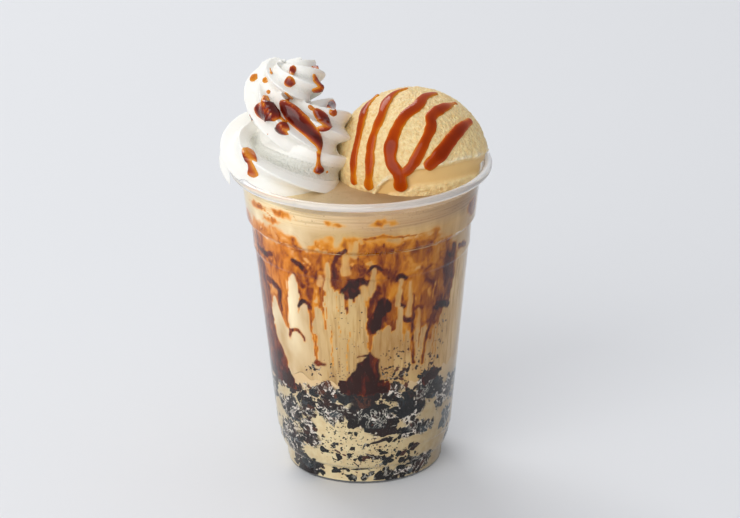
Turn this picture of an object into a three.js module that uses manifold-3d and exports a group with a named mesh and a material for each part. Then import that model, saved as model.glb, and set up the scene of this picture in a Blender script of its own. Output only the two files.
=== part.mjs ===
// Coffee jelly in a clear takeaway cup: crushed coffee jelly under iced milk coffee,
// topped with a swirl of whipped cream and a scoop of vanilla ice cream, both with caramel sauce.
// Millimetres, +Z up, origin at the middle of the cup's underside, on its axis. The front is -Y.
import * as THREE from 'three';
import { mergeVertices } from 'three/addons/utils/BufferGeometryUtils.js';
import Module from 'manifold-3d';

// ---- driving dimensions ----
const TURN = 2 * Math.PI;
const FACETS = 44;                 // flats round the cup and its contents
const GAP = 0.3;                   // clearance between pieces that touch
const SLIVER = 0.06;               // edges left by a cut that are shorter than this are closed up

const CUP_HEIGHT = 120;
const RIM_RADIUS = 49;             // outside of the rolled rim
const RIM_ROLL = 1.5;              // radius of the roll itself
const WALL = 0.8;
const FOOT_RADIUS = 29.4;
const FOOT_HEIGHT = 7;
const FOOT_CORNER = 0.8;           // bevel under the foot
const FLOOR_CORNER = 0.6;          // bevel round the inside of the floor
const ROLL_STEPS = 7;              // flats round the rolled rim
const ROLL_START = THREE.MathUtils.degToRad(-125);
const ROLL_SWEEP = THREE.MathUtils.degToRad(270);
const FLUTES = 9;                  // shallow upright grooves round the foot
const FLUTE_RADIUS = 0.9;
const FLUTE_SIDES = 10;
const FLUTE_DEPTH = 0.35;
const FLUTE_BELOW = 0.5;           // how far a groove starts under the foot, and stops short of its top
const FLUTE_START = THREE.MathUtils.degToRad(-52);

// outside radius of the wall at each height where it changes slope: [height, radius]
const FOOT_EDGE = [0.7, FOOT_RADIUS];
const FOOT_TOP = [FOOT_HEIGHT, 29.9];
const LEDGE_OUT = [8.1, 31.4];
const LEDGE_SWELL = [11.2, 32.4];
const LOWER_RING = [14.6, 32.9];
const WALL_FOOT = [15.3, 33.3];
const UPPER_RING = [87, 40.2];
const UPPER_RING_OUT = [88, 40.7];
const STEP_UNDER = [98, 41.4];
const STEP_OUT = [99.4, 42.9];
const NECK = [115.6, 44.7];
const LIP_UNDER = [117.3, 45.8];
const WALL_LINE = [FOOT_EDGE, FOOT_TOP, LEDGE_OUT, LEDGE_SWELL, LOWER_RING, WALL_FOOT,
  UPPER_RING, UPPER_RING_OUT, STEP_UNDER, STEP_OUT, NECK, LIP_UNDER];

const DRINK_LEVEL = 114;
const JELLY_LEVEL = 44;            // mean height of the crushed jelly
const JELLY_WAVE = 2.2;            // slow rise and fall of its top
const WAVE_SIZE = 9.5;             // a sixth of the distance between two waves
const WAVE_START = [0.8, -0.4];
const JELLY_BUMP = 1.5;            // height of the pieces standing out of it
const BUMP_SIZE = 1.25;            // a sixth of the distance between two bumps
const JELLY_RINGS = 6;             // rings of points across the top of the jelly
const JELLY_CLEAR = 6;             // no bump or hollow of its top is further from the mean
const JELLY_CORNER = 0.7;          // bevel round its foot

const SCOOP = { x: 19, y: 2.5, z: 119, wide: 28.5, deep: 27, high: 26.5 };
const DOME_SIDES = 34;
const DOME_ROWS = 22;
const SCOOP_LIP = 1.1;             // how far the dome stands out over the smooth band
const SCOOP_GRAIN = 0.3;           // height of the icy grain
const GRAIN_SIZE = 1.2;            // a sixth of the distance between two grains
const DOME_LOW = -16;              // elevation in degrees of the lowest row that shows
const LIP_LINE = [[-130, -20], [-106, 4], [-85, 13], [-50, 14], [-15, 10], [10, 4], [40, -20]];
const BAND_DROP = 13;              // degrees from the lip down to the foot of the scoop
const BAND_EDGE = 4;               // degrees over which the band begins and ends

const SAUCE_WIDTH = 3;
const SAUCE_SINK = 0.55;           // how far the middle of a sauce line lies under the surface
const SAUCE_STEP = 4;              // length of the straight pieces of a sauce line
const SAUCE_FLATS = 6;             // flats round a sauce line
const SCOOP_DROPS = 3;             // this many of the lines down the scoop end in a drop
const DROP_RADIUS = 1.9;
// sauce lines down the scoop: [azimuth, elevation] on its dome, in degrees
const SCOOP_SAUCE = [
  [[157, 63], [-170, 54], [-154, 45], [-143, 31], [-140, 12], [-139, -8]],
  [[101, 82], [-175, 78], [-145, 67], [-130, 52], [-127, 31], [-124, 10], [-125, -9]],
  [[8, 70], [-42, 76], [-80, 66], [-101, 54], [-108, 34], [-107, 18], [-100, 7], [-99, -7]],
  [[-1, 54], [-38, 59], [-65, 54], [-70, 45], [-80, 32], [-90, 16], [-98, 7]],
  [[-13, 38], [-36, 38], [-54, 32], [-68, 22], [-81, 12]],
];

const SWIRL = { x: -26.5, y: 0 };  // axis of the cream swirl
const SWIRL_START = -20;           // direction in which the rope of cream starts, in degrees
const SWIRL_TURNS = 2.75;          // it climbs clockwise, seen from above
// ridges round the star-shaped rope, in degrees; the wide groove lies between last and first
const ROPE_RIDGES = [22, 74, 126, 178, 241, 292];
const WIDE_CLOSES = 32;            // degrees by which the wide groove narrows on the upper coils
const GROOVE_WIDTH = 60;           // degrees from ridge to ridge of a groove as deep as ROPE_GROOVE
const ROPE_GROOVE = 0.35;          // its depth as a share of the rope's radius
const ROPE_TWIST = 1;              // turns of the ridges for each turn of the swirl
const ROPE_STEPS = 20;             // corners along the rope for each turn of the swirl
const ROPE_FLATS = 4;              // flats from ridge to ridge
const ROPE_STRETCH = 0.4;          // the rope is joined from stretches this many turns long
const ROPE_INNER = 0.4;            // the rope keeps this far off the swirl's axis
const CORE_FOOT = 17;              // cone of cream that fills the inside of the swirl
const CORE_TOP = 6;
const CORE_HEIGHT = 34;
const CORE_SIDES = 24;
// the rope's distance from the swirl's axis, height of its middle, radius and shift along X, by turns
const ROPE_OFFSET = [[0, 15], [0.2, 14.5], [0.5, 14], [1, 11.5], [1.5, 8.2], [2, 5.5], [2.75, 2]];
const ROPE_HEIGHT = [[0, 119.5], [0.3, 121.5], [0.6, 125], [1, 133], [1.5, 146], [2, 151], [2.75, 155]];
const ROPE_RADIUS = [[0, 10.5], [0.2, 12], [0.5, 12], [1, 11.8], [1.5, 10.4], [2, 8.6], [2.4, 7], [2.75, 4]];
const ROPE_LEAN = [[0, 0], [0.5, -1.5], [1, 1.5], [1.7, 1.5], [2.2, -1.5], [2.75, -1.5]];

// sauce on the cream: [azimuth, elevation] seen from inside the swirl, in degrees
const SAUCE_EYE = 134;
const CREAM_SAUCE = [
  {
    line: [[-107, 43], [-94, 35], [-85, 26], [-76, 16], [-69, 5], [-60, -12], [-55, -34]],
    width: 3.8,
    drop: 2,
  },
  { line: [[-116, 47], [-118, 28]], width: 3.2, drop: 3.4 },
  { line: [[-103, 24], [-96, 14]], width: 2.8, drop: 2.7 },
  { line: [[-144, -14], [-134, -17], [-126, -21], [-120, -26]], width: 3.4, drop: 1.9 },
  { line: [[-42, 27], [-45, 16], [-50, 10]], width: 3.4, drop: 2.4 },
  { line: [[-78, 67], [-85, 60]], width: 2.2, drop: 1.8 },
  { line: [[-6, 58], [-35, 51]], width: 2.4, drop: 2 },
  { line: [[6, 22], [-24, 20]], width: 2.8, drop: 2.2 },
];

// ---- the two libraries' meshes and solids ----
const wasm = await Module();
wasm.setup();

function toSolid(geometry) {
  const bare = geometry.clone();
  bare.deleteAttribute('normal');
  bare.deleteAttribute('uv');
  const merged = mergeVertices(bare, 1e-5);
  return new wasm.Manifold(new wasm.Mesh({
    numProp: 3,
    vertProperties: Float32Array.from(merged.attributes.position.array),
    triVerts: Uint32Array.from(merged.index.array),
  }));
}

function toGeometry(solid) {
  const mesh = solid.getMesh();
  const geometry = new THREE.BufferGeometry();
  geometry.setAttribute('position', new THREE.BufferAttribute(mesh.vertProperties, 3));
  geometry.setIndex(new THREE.BufferAttribute(mesh.triVerts, 1));
  return geometry;
}

function join(solids) {
  return solids.reduce((whole, piece) => whole.add(piece));
}

// closes up the edges shorter than a sliver that cuts leave, by bringing their ends together
function weld(solid) {
  const { vertProperties, triVerts } = solid.getMesh();
  const home = Array.from({ length: vertProperties.length / 3 }, (_, i) => i);
  const find = (i) => (home[i] === i ? i : find(home[i]));
  const corner = (i) => new THREE.Vector3().fromArray(vertProperties, 3 * i);
  for (let i = 0; i < triVerts.length; i += 1) {
    const next = i % 3 === 2 ? i - 2 : i + 1;
    const [a, b] = [find(triVerts[i]), find(triVerts[next])];
    if (a !== b && corner(a).distanceTo(corner(b)) < SLIVER) home[Math.max(a, b)] = Math.min(a, b);
  }
  const kept = [];
  for (let i = 0; i < triVerts.length; i += 3) {
    const face = [find(triVerts[i]), find(triVerts[i + 1]), find(triVerts[i + 2])];
    if (new Set(face).size === 3) kept.push(...face);
  }
  const used = [...new Set(kept)].sort((a, b) => a - b);
  const place = new Map(used.map((old, i) => [old, i]));
  return new wasm.Manifold(new wasm.Mesh({
    numProp: 3,
    vertProperties: Float32Array.from(used.flatMap((i) => corner(i).toArray())),
    triVerts: Uint32Array.from(kept.map((i) => place.get(i))),
  }));
}

// the largest body alone: hollows that joining sealed are filled and loose scraps are dropped
function oneBody(solid) {
  const bodies = solid.decompose();
  return weld(bodies.reduce((best, body) => (body.volume() > best.volume() ? body : best)));
}

// moves every corner of a geometry by a rule that takes and gives [x, y, z]
function reshape(geometry, rule) {
  const place = geometry.attributes.position;
  for (let i = 0; i < place.count; i += 1) {
    place.setXYZ(i, ...rule(place.getX(i), place.getY(i), place.getZ(i)));
  }
  return geometry;
}

// a profile of [radius, height] points turned round the Z axis
function turned(profile) {
  const points = profile.map(([radius, height]) => new THREE.Vector2(radius, height));
  return new THREE.LatheGeometry(points, FACETS).rotateX(Math.PI / 2);
}

function smooth(x) {
  const t = THREE.MathUtils.clamp(x, 0, 1);
  return t * t * (3 - 2 * t);
}

// value at t along a list of [t, value] stations, eased between them
function along(stations, t) {
  const last = stations.length - 1;
  if (t <= stations[0][0]) return stations[0][1];
  if (t >= stations[last][0]) return stations[last][1];
  const i = stations.findIndex(([at]) => at > t);
  const [t0, v0] = stations[i - 1];
  const [t1, v1] = stations[i];
  return v0 + (v1 - v0) * smooth((t - t0) / (t1 - t0));
}

// straight-line radius of the outside of the wall at a height
function wallRadius(height) {
  const i = Math.max(1, WALL_LINE.findIndex(([z]) => z >= height));
  const [z0, r0] = WALL_LINE[i - 1];
  const [z1, r1] = WALL_LINE[i];
  return r0 + ((r1 - r0) * (height - z0)) / (z1 - z0);
}

function fillRadius(height) {
  return wallRadius(height) - WALL - GAP;
}

// ---- cup ----
function rimRoll() {
  const middle = [RIM_RADIUS - RIM_ROLL, CUP_HEIGHT - RIM_ROLL];
  return Array.from({ length: ROLL_STEPS + 1 }, (_, i) => {
    const a = ROLL_START + (ROLL_SWEEP * i) / ROLL_STEPS;
    return [middle[0] + RIM_ROLL * Math.cos(a), middle[1] + RIM_ROLL * Math.sin(a)];
  });
}

function flute(index) {
  const angle = FLUTE_START + (TURN * index) / FLUTES;
  const reach = FOOT_RADIUS + FLUTE_RADIUS - FLUTE_DEPTH;
  const groove = new THREE.CylinderGeometry(FLUTE_RADIUS, FLUTE_RADIUS, FOOT_HEIGHT, FLUTE_SIDES);
  groove.rotateX(Math.PI / 2);
  groove.translate(reach * Math.cos(angle), reach * Math.sin(angle), FOOT_HEIGHT / 2 - FLUTE_BELOW);
  return toSolid(groove);
}

function makeCup() {
  const outside = WALL_LINE.map(([z, r]) => [r, z]);
  const inside = WALL_LINE.filter(([z]) => z > WALL).map(([z, r]) => [r - WALL, z]).reverse();
  const profile = [
    [0, 0], [FOOT_RADIUS - FOOT_CORNER, 0], ...outside, ...rimRoll(), ...inside,
    [FOOT_RADIUS - WALL, WALL + FLOOR_CORNER], [FOOT_RADIUS - WALL - FLOOR_CORNER, WALL], [0, WALL],
  ];
  const shell = toSolid(turned(profile));
  const grooves = Array.from({ length: FLUTES }, (_, i) => flute(i));
  return toGeometry(oneBody(shell.subtract(join(grooves))));
}

// ---- jelly and drink ----
// height of the broken top of the jelly: slow waves and bumps the size of its pieces
function jellyTop(x, y) {
  const [a, b] = [x / WAVE_SIZE, y / WAVE_SIZE];
  const waves = Math.sin(a + WAVE_START[0]) * Math.cos(b + WAVE_START[1]) + Math.sin(1.5 * (a + b)) / 2;
  const [c, d] = [x / BUMP_SIZE, y / BUMP_SIZE];
  const bumps = Math.sin(c + 2 * Math.sin(d / 3)) * Math.sin(d + c / 4);
  return JELLY_LEVEL + (JELLY_WAVE * waves) / 1.5 + JELLY_BUMP * bumps;
}

// the corners that lie at the jelly's mean level follow its broken top
function followJelly(lift) {
  return (x, y, z) => {
    if (Math.abs(z - JELLY_LEVEL) > 1e-3) return [x, y, z];
    const height = jellyTop(x, y) + lift;
    const radius = Math.hypot(x, y);
    const edge = fillRadius(JELLY_LEVEL);
    const atWall = Math.abs(radius - edge) < 1e-3;
    const scale = atWall ? fillRadius(height - lift) / radius : 1;
    return [x * scale, y * scale, height];
  };
}

function ringsAcross() {
  const edge = fillRadius(JELLY_LEVEL);
  return Array.from({ length: JELLY_RINGS + 1 }, (_, i) => [(edge * i) / JELLY_RINGS, JELLY_LEVEL]);
}

function makeJelly() {
  const floor = WALL + GAP;
  const side = WALL_LINE.filter(([z]) => z > floor && z < JELLY_LEVEL - JELLY_CLEAR);
  const profile = [
    [0, floor], [FOOT_RADIUS - WALL - GAP - JELLY_CORNER, floor],
    [FOOT_RADIUS - WALL - GAP, floor + JELLY_CORNER],
    ...side.map(([z]) => [fillRadius(z), z]), ...ringsAcross().reverse(),
  ];
  return reshape(turned(profile), followJelly(0));
}

// the drink is the whole column above the jelly, less a block with the jelly's own top
function makeDrink() {
  const low = JELLY_LEVEL - JELLY_CLEAR;
  const side = WALL_LINE.filter(([z]) => z > low && z < DRINK_LEVEL);
  const column = toSolid(turned([
    [0, low], [fillRadius(low), low], ...side.map(([z]) => [fillRadius(z), z]),
    [fillRadius(DRINK_LEVEL), DRINK_LEVEL], [0, DRINK_LEVEL],
  ]));
  const beyond = JELLY_CLEAR / 2;
  const edge = fillRadius(JELLY_LEVEL) + beyond;
  const block = turned([
    [0, low - beyond], [edge, low - beyond], [edge, JELLY_LEVEL], ...ringsAcross().reverse(),
  ]);
  return toGeometry(oneBody(column.subtract(toSolid(reshape(block, followJelly(GAP))))));
}

// what the ice cream and the cream keep clear of: the drink, and the wall with its rim
function trimmed(solid) {
  const above = new THREE.BoxGeometry(3 * RIM_RADIUS, 3 * RIM_RADIUS, CUP_HEIGHT);
  above.translate(0, 0, DRINK_LEVEL + GAP + CUP_HEIGHT / 2);
  const low = DRINK_LEVEL - RIM_ROLL;
  const wall = turned([
    [wallRadius(low) - WALL - GAP, low], [RIM_RADIUS + GAP, low],
    [RIM_RADIUS + GAP, CUP_HEIGHT - RIM_ROLL], [RIM_RADIUS - GAP, CUP_HEIGHT + GAP],
    [RIM_RADIUS - 2 * RIM_ROLL, CUP_HEIGHT + GAP],
    [LIP_UNDER[1] - WALL - GAP, LIP_UNDER[0]], [NECK[1] - WALL - GAP, NECK[0]],
    [wallRadius(low) - WALL - GAP, low],
  ]);
  return solid.intersect(toSolid(above)).subtract(toSolid(wall));
}

// ---- ice cream scoop ----
// point of the scoop's dome at an azimuth and elevation in degrees, moved out by a height
function onScoop(azimuth, elevation, out) {
  const a = THREE.MathUtils.degToRad(azimuth);
  const e = THREE.MathUtils.degToRad(elevation);
  return [
    SCOOP.x + (SCOOP.wide + out) * Math.cos(e) * Math.cos(a),
    SCOOP.y + (SCOOP.deep + out) * Math.cos(e) * Math.sin(a),
    SCOOP.z + (SCOOP.high + out) * Math.sin(e),
  ];
}

// the dome's lip, the smooth band under it and the ragged foot under that
function scoopRelief(azimuth, elevation) {
  const [a, b, c] = onScoop(azimuth, elevation, 0).map((place) => place / GRAIN_SIZE);
  const grain = SCOOP_GRAIN * Math.sin(a + Math.sin(c)) * Math.sin(b + c / 2);
  if (azimuth < LIP_LINE[0][0] || azimuth > LIP_LINE[LIP_LINE.length - 1][0]) return grain;
  const under = along(LIP_LINE, azimuth) - elevation;
  const band = smooth(under / BAND_EDGE) * (1 - smooth((under - BAND_DROP) / BAND_EDGE));
  return grain * (1 - band) - SCOOP_LIP * band;
}

// most rows of the dome's corners lie above the level where the drink cuts it off
function domeElevation(z) {
  const share = Math.asin(THREE.MathUtils.clamp(z, -1, 1)) / Math.PI + 0.5;
  const bottom = 1 / DOME_ROWS;
  if (share <= bottom) return -90 + ((DOME_LOW + 90) * share) / bottom;
  return DOME_LOW + ((90 - DOME_LOW) * (share - bottom)) / (1 - bottom);
}

function makeDome(grow) {
  const ball = new THREE.SphereGeometry(1, DOME_SIDES, DOME_ROWS).rotateX(Math.PI / 2);
  return reshape(ball, (x, y, z) => {
    const azimuth = THREE.MathUtils.radToDeg(Math.atan2(y, x));
    const elevation = domeElevation(z);
    const pole = Math.abs(z) > 0.9999;
    return onScoop(azimuth, elevation, grow + (pole ? 0 : scoopRelief(azimuth, elevation)));
  });
}

// a line of sauce: a round tube sunk part way in, with a drop at its lower end
function sauceLine(path, width) {
  const curve = new THREE.CatmullRomCurve3(path.map((p) => new THREE.Vector3(...p)));
  const section = new THREE.Shape();
  section.absarc(0, 0, width / 2, 0, TURN);
  const tube = new THREE.ExtrudeGeometry(section, {
    steps: Math.ceil(curve.getLength() / SAUCE_STEP),
    curveSegments: SAUCE_FLATS / 2,
    bevelEnabled: false,
    extrudePath: curve,
  });
  return toSolid(tube);
}

function drop(place, radius) {
  return toSolid(new THREE.IcosahedronGeometry(radius, 1).translate(...place));
}

function makeScoop() {
  const lines = SCOOP_SAUCE.map((line) => sauceLine(
    line.map(([azimuth, elevation]) => onScoop(azimuth, elevation, -SAUCE_SINK)), SAUCE_WIDTH));
  const ends = SCOOP_SAUCE.slice(0, SCOOP_DROPS).map(
    (line) => drop(onScoop(...line[line.length - 1], 0), DROP_RADIUS));
  return toGeometry(oneBody(trimmed(join([toSolid(makeDome(0)), ...lines, ...ends]))));
}

// ---- whipped cream ----
// where the ridges of the rope lie at some turns along it, in degrees, once round and one more
function ridgesAt(turns) {
  const shift = WIDE_CLOSES * smooth(turns);
  const first = ROPE_RIDGES[0];
  const span = ROPE_RIDGES[ROPE_RIDGES.length - 1] - first;
  const ridges = ROPE_RIDGES.map((at) => at - (shift * (span - (at - first))) / span);
  return [...ridges, ridges[0] + 360];
}

// corner of the rope: turns along the swirl, and how many ridges round the rope
function onRope(turns, ridge) {
  const ridges = ridgesAt(turns);
  const i = Math.min(Math.floor(ridge), ROPE_RIDGES.length - 1);
  const width = ridges[i + 1] - ridges[i];
  const depth = (ROPE_GROOVE * width) / GROOVE_WIDTH;
  const groove = depth * Math.sin(Math.PI * (ridge - i));
  const radius = along(ROPE_RADIUS, turns) * (1 - groove);
  const round = THREE.MathUtils.degToRad(ridges[i] + width * (ridge - i)) + TURN * ROPE_TWIST * turns;
  const way = THREE.MathUtils.degToRad(SWIRL_START) - TURN * turns;
  const out = Math.max(ROPE_INNER, along(ROPE_OFFSET, turns) + radius * Math.cos(round));
  return [
    SWIRL.x + along(ROPE_LEAN, turns) + out * Math.cos(way),
    SWIRL.y + out * Math.sin(way),
    along(ROPE_HEIGHT, turns) + radius * Math.sin(round),
  ];
}

// a stretch of the rope, closed at both ends
function ropeStretch(from, to) {
  const sides = ROPE_RIDGES.length * ROPE_FLATS;
  const steps = Math.round((to - from) * ROPE_STEPS);
  const rod = new THREE.CylinderGeometry(1, 1, 1, sides, steps);
  return toSolid(reshape(rod, (x, y, z) => {
    const turns = from + (to - from) * (0.5 - y);
    const onSide = Math.hypot(x, z) > 0.5;
    if (onSide) {
      return onRope(turns, Math.round((sides * (Math.atan2(z, x) / TURN + 1)) % sides) / ROPE_FLATS);
    }
    const way = THREE.MathUtils.degToRad(SWIRL_START) - TURN * turns;
    const out = along(ROPE_OFFSET, turns);
    return [SWIRL.x + along(ROPE_LEAN, turns) + out * Math.cos(way), SWIRL.y + out * Math.sin(way),
      along(ROPE_HEIGHT, turns)];
  }));
}

// a point on the cream, looked for from outside towards the middle of the swirl
function onCream(cream, azimuth, elevation) {
  const a = THREE.MathUtils.degToRad(azimuth);
  const e = THREE.MathUtils.degToRad(elevation);
  const middle = new THREE.Vector3(SWIRL.x, SWIRL.y, SAUCE_EYE);
  const way = new THREE.Vector3(Math.cos(e) * Math.cos(a), Math.cos(e) * Math.sin(a), Math.sin(e));
  const outside = middle.clone().addScaledVector(way, 2 * RIM_RADIUS);
  const hit = new THREE.Raycaster(outside, way.clone().negate()).intersectObject(cream)[0];
  return hit.point.addScaledVector(way, -SAUCE_SINK).toArray();
}

function creamSauce(cream) {
  return CREAM_SAUCE.flatMap(({ line, width, drop: radius }) => {
    const path = line.map(([azimuth, elevation]) => onCream(cream, azimuth, elevation));
    return [sauceLine(path, width), drop(path[path.length - 1], radius)];
  });
}

function makeCream() {
  const count = Math.ceil(SWIRL_TURNS / ROPE_STRETCH);
  const rope = Array.from({ length: count }, (_, i) => ropeStretch(
    i * ROPE_STRETCH, Math.min(SWIRL_TURNS, (i + 1) * ROPE_STRETCH)));
  const core = new THREE.CylinderGeometry(CORE_TOP, CORE_FOOT, CORE_HEIGHT, CORE_SIDES);
  core.rotateX(Math.PI / 2);
  core.translate(SWIRL.x, SWIRL.y, DRINK_LEVEL + CORE_HEIGHT / 2);
  const swirl = join([toSolid(core), ...rope]);
  const sauce = creamSauce(new THREE.Mesh(toGeometry(swirl)));
  const cream = trimmed(join([swirl, ...sauce])).subtract(toSolid(makeDome(GAP + SAUCE_WIDTH / 2)));
  return toGeometry(oneBody(cream));
}

const parts = [
  ['cup', makeCup(), { color: '#eef1f2', roughness: 0.08, metalness: 0 }],
  ['coffee_jelly', makeJelly(), { color: '#2a1e1e', roughness: 0.25, metalness: 0 }],
  ['milk_coffee', makeDrink(), { color: '#d9b98c', roughness: 0.4, metalness: 0 }],
  ['ice_cream_scoop', makeScoop(), { color: '#ecd09c', roughness: 0.6, metalness: 0 }],
  ['whipped_cream', makeCream(), { color: '#f6f4ec', roughness: 0.5, metalness: 0 }],
];

const coffeeJelly = new THREE.Group();
for (const [name, geometry, finish] of parts) {
  const mesh = new THREE.Mesh(geometry, new THREE.MeshStandardMaterial(finish));
  mesh.name = name;
  coffeeJelly.add(mesh);
}

export default coffeeJelly;
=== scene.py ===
"""Coffee jelly in a clear takeaway cup: crushed coffee jelly under iced milk coffee, with caramel
run down the inside of the cup, and a swirl of whipped cream and a scoop of ice cream on top.

Run as a script. The scene is in metres, +Z up, from the middle of the cup's underside.
"""
import math

import bpy
import numpy as np
from mathutils import Matrix, Vector
from mathutils.bvhtree import BVHTree
from mathutils.kdtree import KDTree


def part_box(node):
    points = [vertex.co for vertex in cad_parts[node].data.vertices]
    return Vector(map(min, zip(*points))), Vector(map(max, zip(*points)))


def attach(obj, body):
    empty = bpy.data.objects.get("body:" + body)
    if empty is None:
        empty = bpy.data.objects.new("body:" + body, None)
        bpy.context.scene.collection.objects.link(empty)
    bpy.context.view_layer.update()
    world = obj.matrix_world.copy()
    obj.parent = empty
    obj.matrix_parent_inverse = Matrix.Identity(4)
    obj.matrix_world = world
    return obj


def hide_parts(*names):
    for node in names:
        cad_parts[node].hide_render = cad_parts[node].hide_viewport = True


bl_info = {
    "name": "Coffee jelly in a takeaway cup",
    "version": (1, 0, 0),
    "blender": (4, 5, 0),
    "location": "View3D > Sidebar > Coffee Jelly",
    "description": "Crushed coffee jelly in milk coffee with caramel, whipped cream and ice cream",
    "category": "Object",
}

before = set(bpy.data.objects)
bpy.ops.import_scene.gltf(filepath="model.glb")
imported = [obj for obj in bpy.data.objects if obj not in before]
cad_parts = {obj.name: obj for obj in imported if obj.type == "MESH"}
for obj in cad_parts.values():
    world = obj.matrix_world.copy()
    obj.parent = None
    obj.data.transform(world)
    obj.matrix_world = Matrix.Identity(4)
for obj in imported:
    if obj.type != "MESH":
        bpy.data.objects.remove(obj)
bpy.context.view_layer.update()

MM = 0.001
TURN = 2 * math.pi

# ---- sizes shared with the solids, in millimetres ----
FOOT_RADIUS = 29.4
FOOT_HEIGHT = 7.0
FOOT_CORNER, FLOOR_CORNER, WALL_CORNER = 0.8, 0.6, 0.5
NECK_HEIGHT = 115.6
# outside radius of the cup's wall at each height where it changes slope: (height, radius)
WALL_LINE = (
    (0.7, FOOT_RADIUS), (FOOT_HEIGHT, 29.9), (8.1, 31.4), (11.2, 32.4), (14.6, 32.9), (15.3, 33.3),
    (87.0, 40.2), (88.0, 40.7), (98.0, 41.4), (99.4, 42.9), (NECK_HEIGHT, 44.7), (117.3, 45.8),
)
WALL_HEIGHTS, WALL_RADII = zip(*WALL_LINE)
CUP_HEIGHT = 120.0
RIM_RADIUS = 49.0
RIM_ROLL = 1.5
ROLL_START, ROLL_SWEEP = math.radians(-125), math.radians(270)
WALL = 0.8
FLUTES = 9
FLUTE_WIDTH = 2.4
FLUTE_DEPTH = 0.35
FLUTE_START = math.radians(-52)
DRINK_LEVEL = 114.0
JELLY_LEVEL = 44.0
JELLY_WAVE, WAVE_SIZE, WAVE_START = 2.2, 9.5, (0.8, -0.4)
JELLY_BUMP, BUMP_SIZE = 1.5, 1.25
# how far each thing that lies against the wall reaches into it, and the gap over the floor
BED_IN, MILK_IN, PIECES_IN, SYRUP_IN, FLOOR_GAP = 0.03, 0.06, 0.12, 0.18, 0.02

# the ball of ice cream: middle, and half its width, depth and height
SCOOP_AT = np.array((19.0, 2.5, 119.0))
SCOOP_REACH = np.array((28.5, 27.0, 26.5))
SCOOP_LIP = 1.1
# its lip and the end of the smooth band under it: (azimuth, elevation) in degrees
LIP_LINE = ((-130, -20), (-106, 4), (-85, 13), (-50, 14), (-15, 10), (10, 4), (40, -20))
BAND_DROP = 13.0

# the rope of cream that climbs round its axis; its lines are (turns, value)
SWIRL_X = -26.5
SWIRL_START = -20.0
SWIRL_TURNS = 2.75
ROPE_RIDGES = (22, 74, 126, 178, 241, 292)
WIDE_CLOSES = 32.0
GROOVE_WIDTH = 60.0
ROPE_GROOVE = 0.35
ROPE_TWIST = 1.0
ROPE_INNER = 0.4
ROPE_OFFSET = ((0, 15), (0.2, 14.5), (0.5, 14), (1, 11.5), (1.5, 8.2), (2, 5.5), (2.75, 2))
ROPE_HEIGHT = ((0, 119.5), (0.3, 121.5), (0.6, 125), (1, 133), (1.5, 146), (2, 151), (2.75, 155))
ROPE_RADIUS = (
    (0, 10.5), (0.2, 12), (0.5, 12), (1, 11.8), (1.5, 10.4), (2, 8.6), (2.4, 7), (2.75, 4))
ROPE_LEAN = ((0, 0), (0.5, -1.5), (1, 1.5), (1.7, 1.5), (2.2, -1.5), (2.75, -1.5))
CORE_FOOT, CORE_TOP, CORE_HEIGHT = 17.0, 6.0, 34.0

# the photograph's view: how far and how high the camera is, its tilt, and its lens
CAMERA_RISE = math.radians(22.562)
CAMERA_AWAY = 1.2513
CAMERA_TILT = math.radians(-0.836)
PHOTO_WIDE = 740
LENS_PIXELS = 3300.0
SHIFT_PIXELS = (7.2, 49.115)
CAMERA_SPOT = Vector((0, -CAMERA_AWAY * math.cos(CAMERA_RISE),
                      CUP_HEIGHT * MM / 2 + CAMERA_AWAY * math.sin(CAMERA_RISE)))

# ---- caramel ----
# lines down the scoop: (azimuth, elevation) on its ball, in degrees
SCOOP_SAUCE = (
    ((157, 63), (-170, 54), (-154, 45), (-143, 31), (-140, 12), (-139, -8)),
    ((101, 82), (-175, 78), (-145, 67), (-130, 52), (-127, 31), (-124, 10), (-125, -9)),
    ((8, 70), (-42, 76), (-80, 66), (-101, 54), (-108, 34), (-107, 18), (-100, 7), (-99, -7)),
    ((-1, 54), (-38, 59), (-65, 54), (-70, 45), (-80, 32), (-90, 16), (-98, 7)),
    ((-13, 38), (-36, 38), (-54, 32), (-68, 22), (-81, 12)),
)
# their half width, how thick they lie, and the drop at their end, in mm
SCOOP_WIDTHS = ((1.75, 0.8, 2.0), (1.95, 0.7, 2.2), (2.3, 0.9, 2.8), (2.2, 0.9, 0), (2.6, 1.1, 0))
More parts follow.
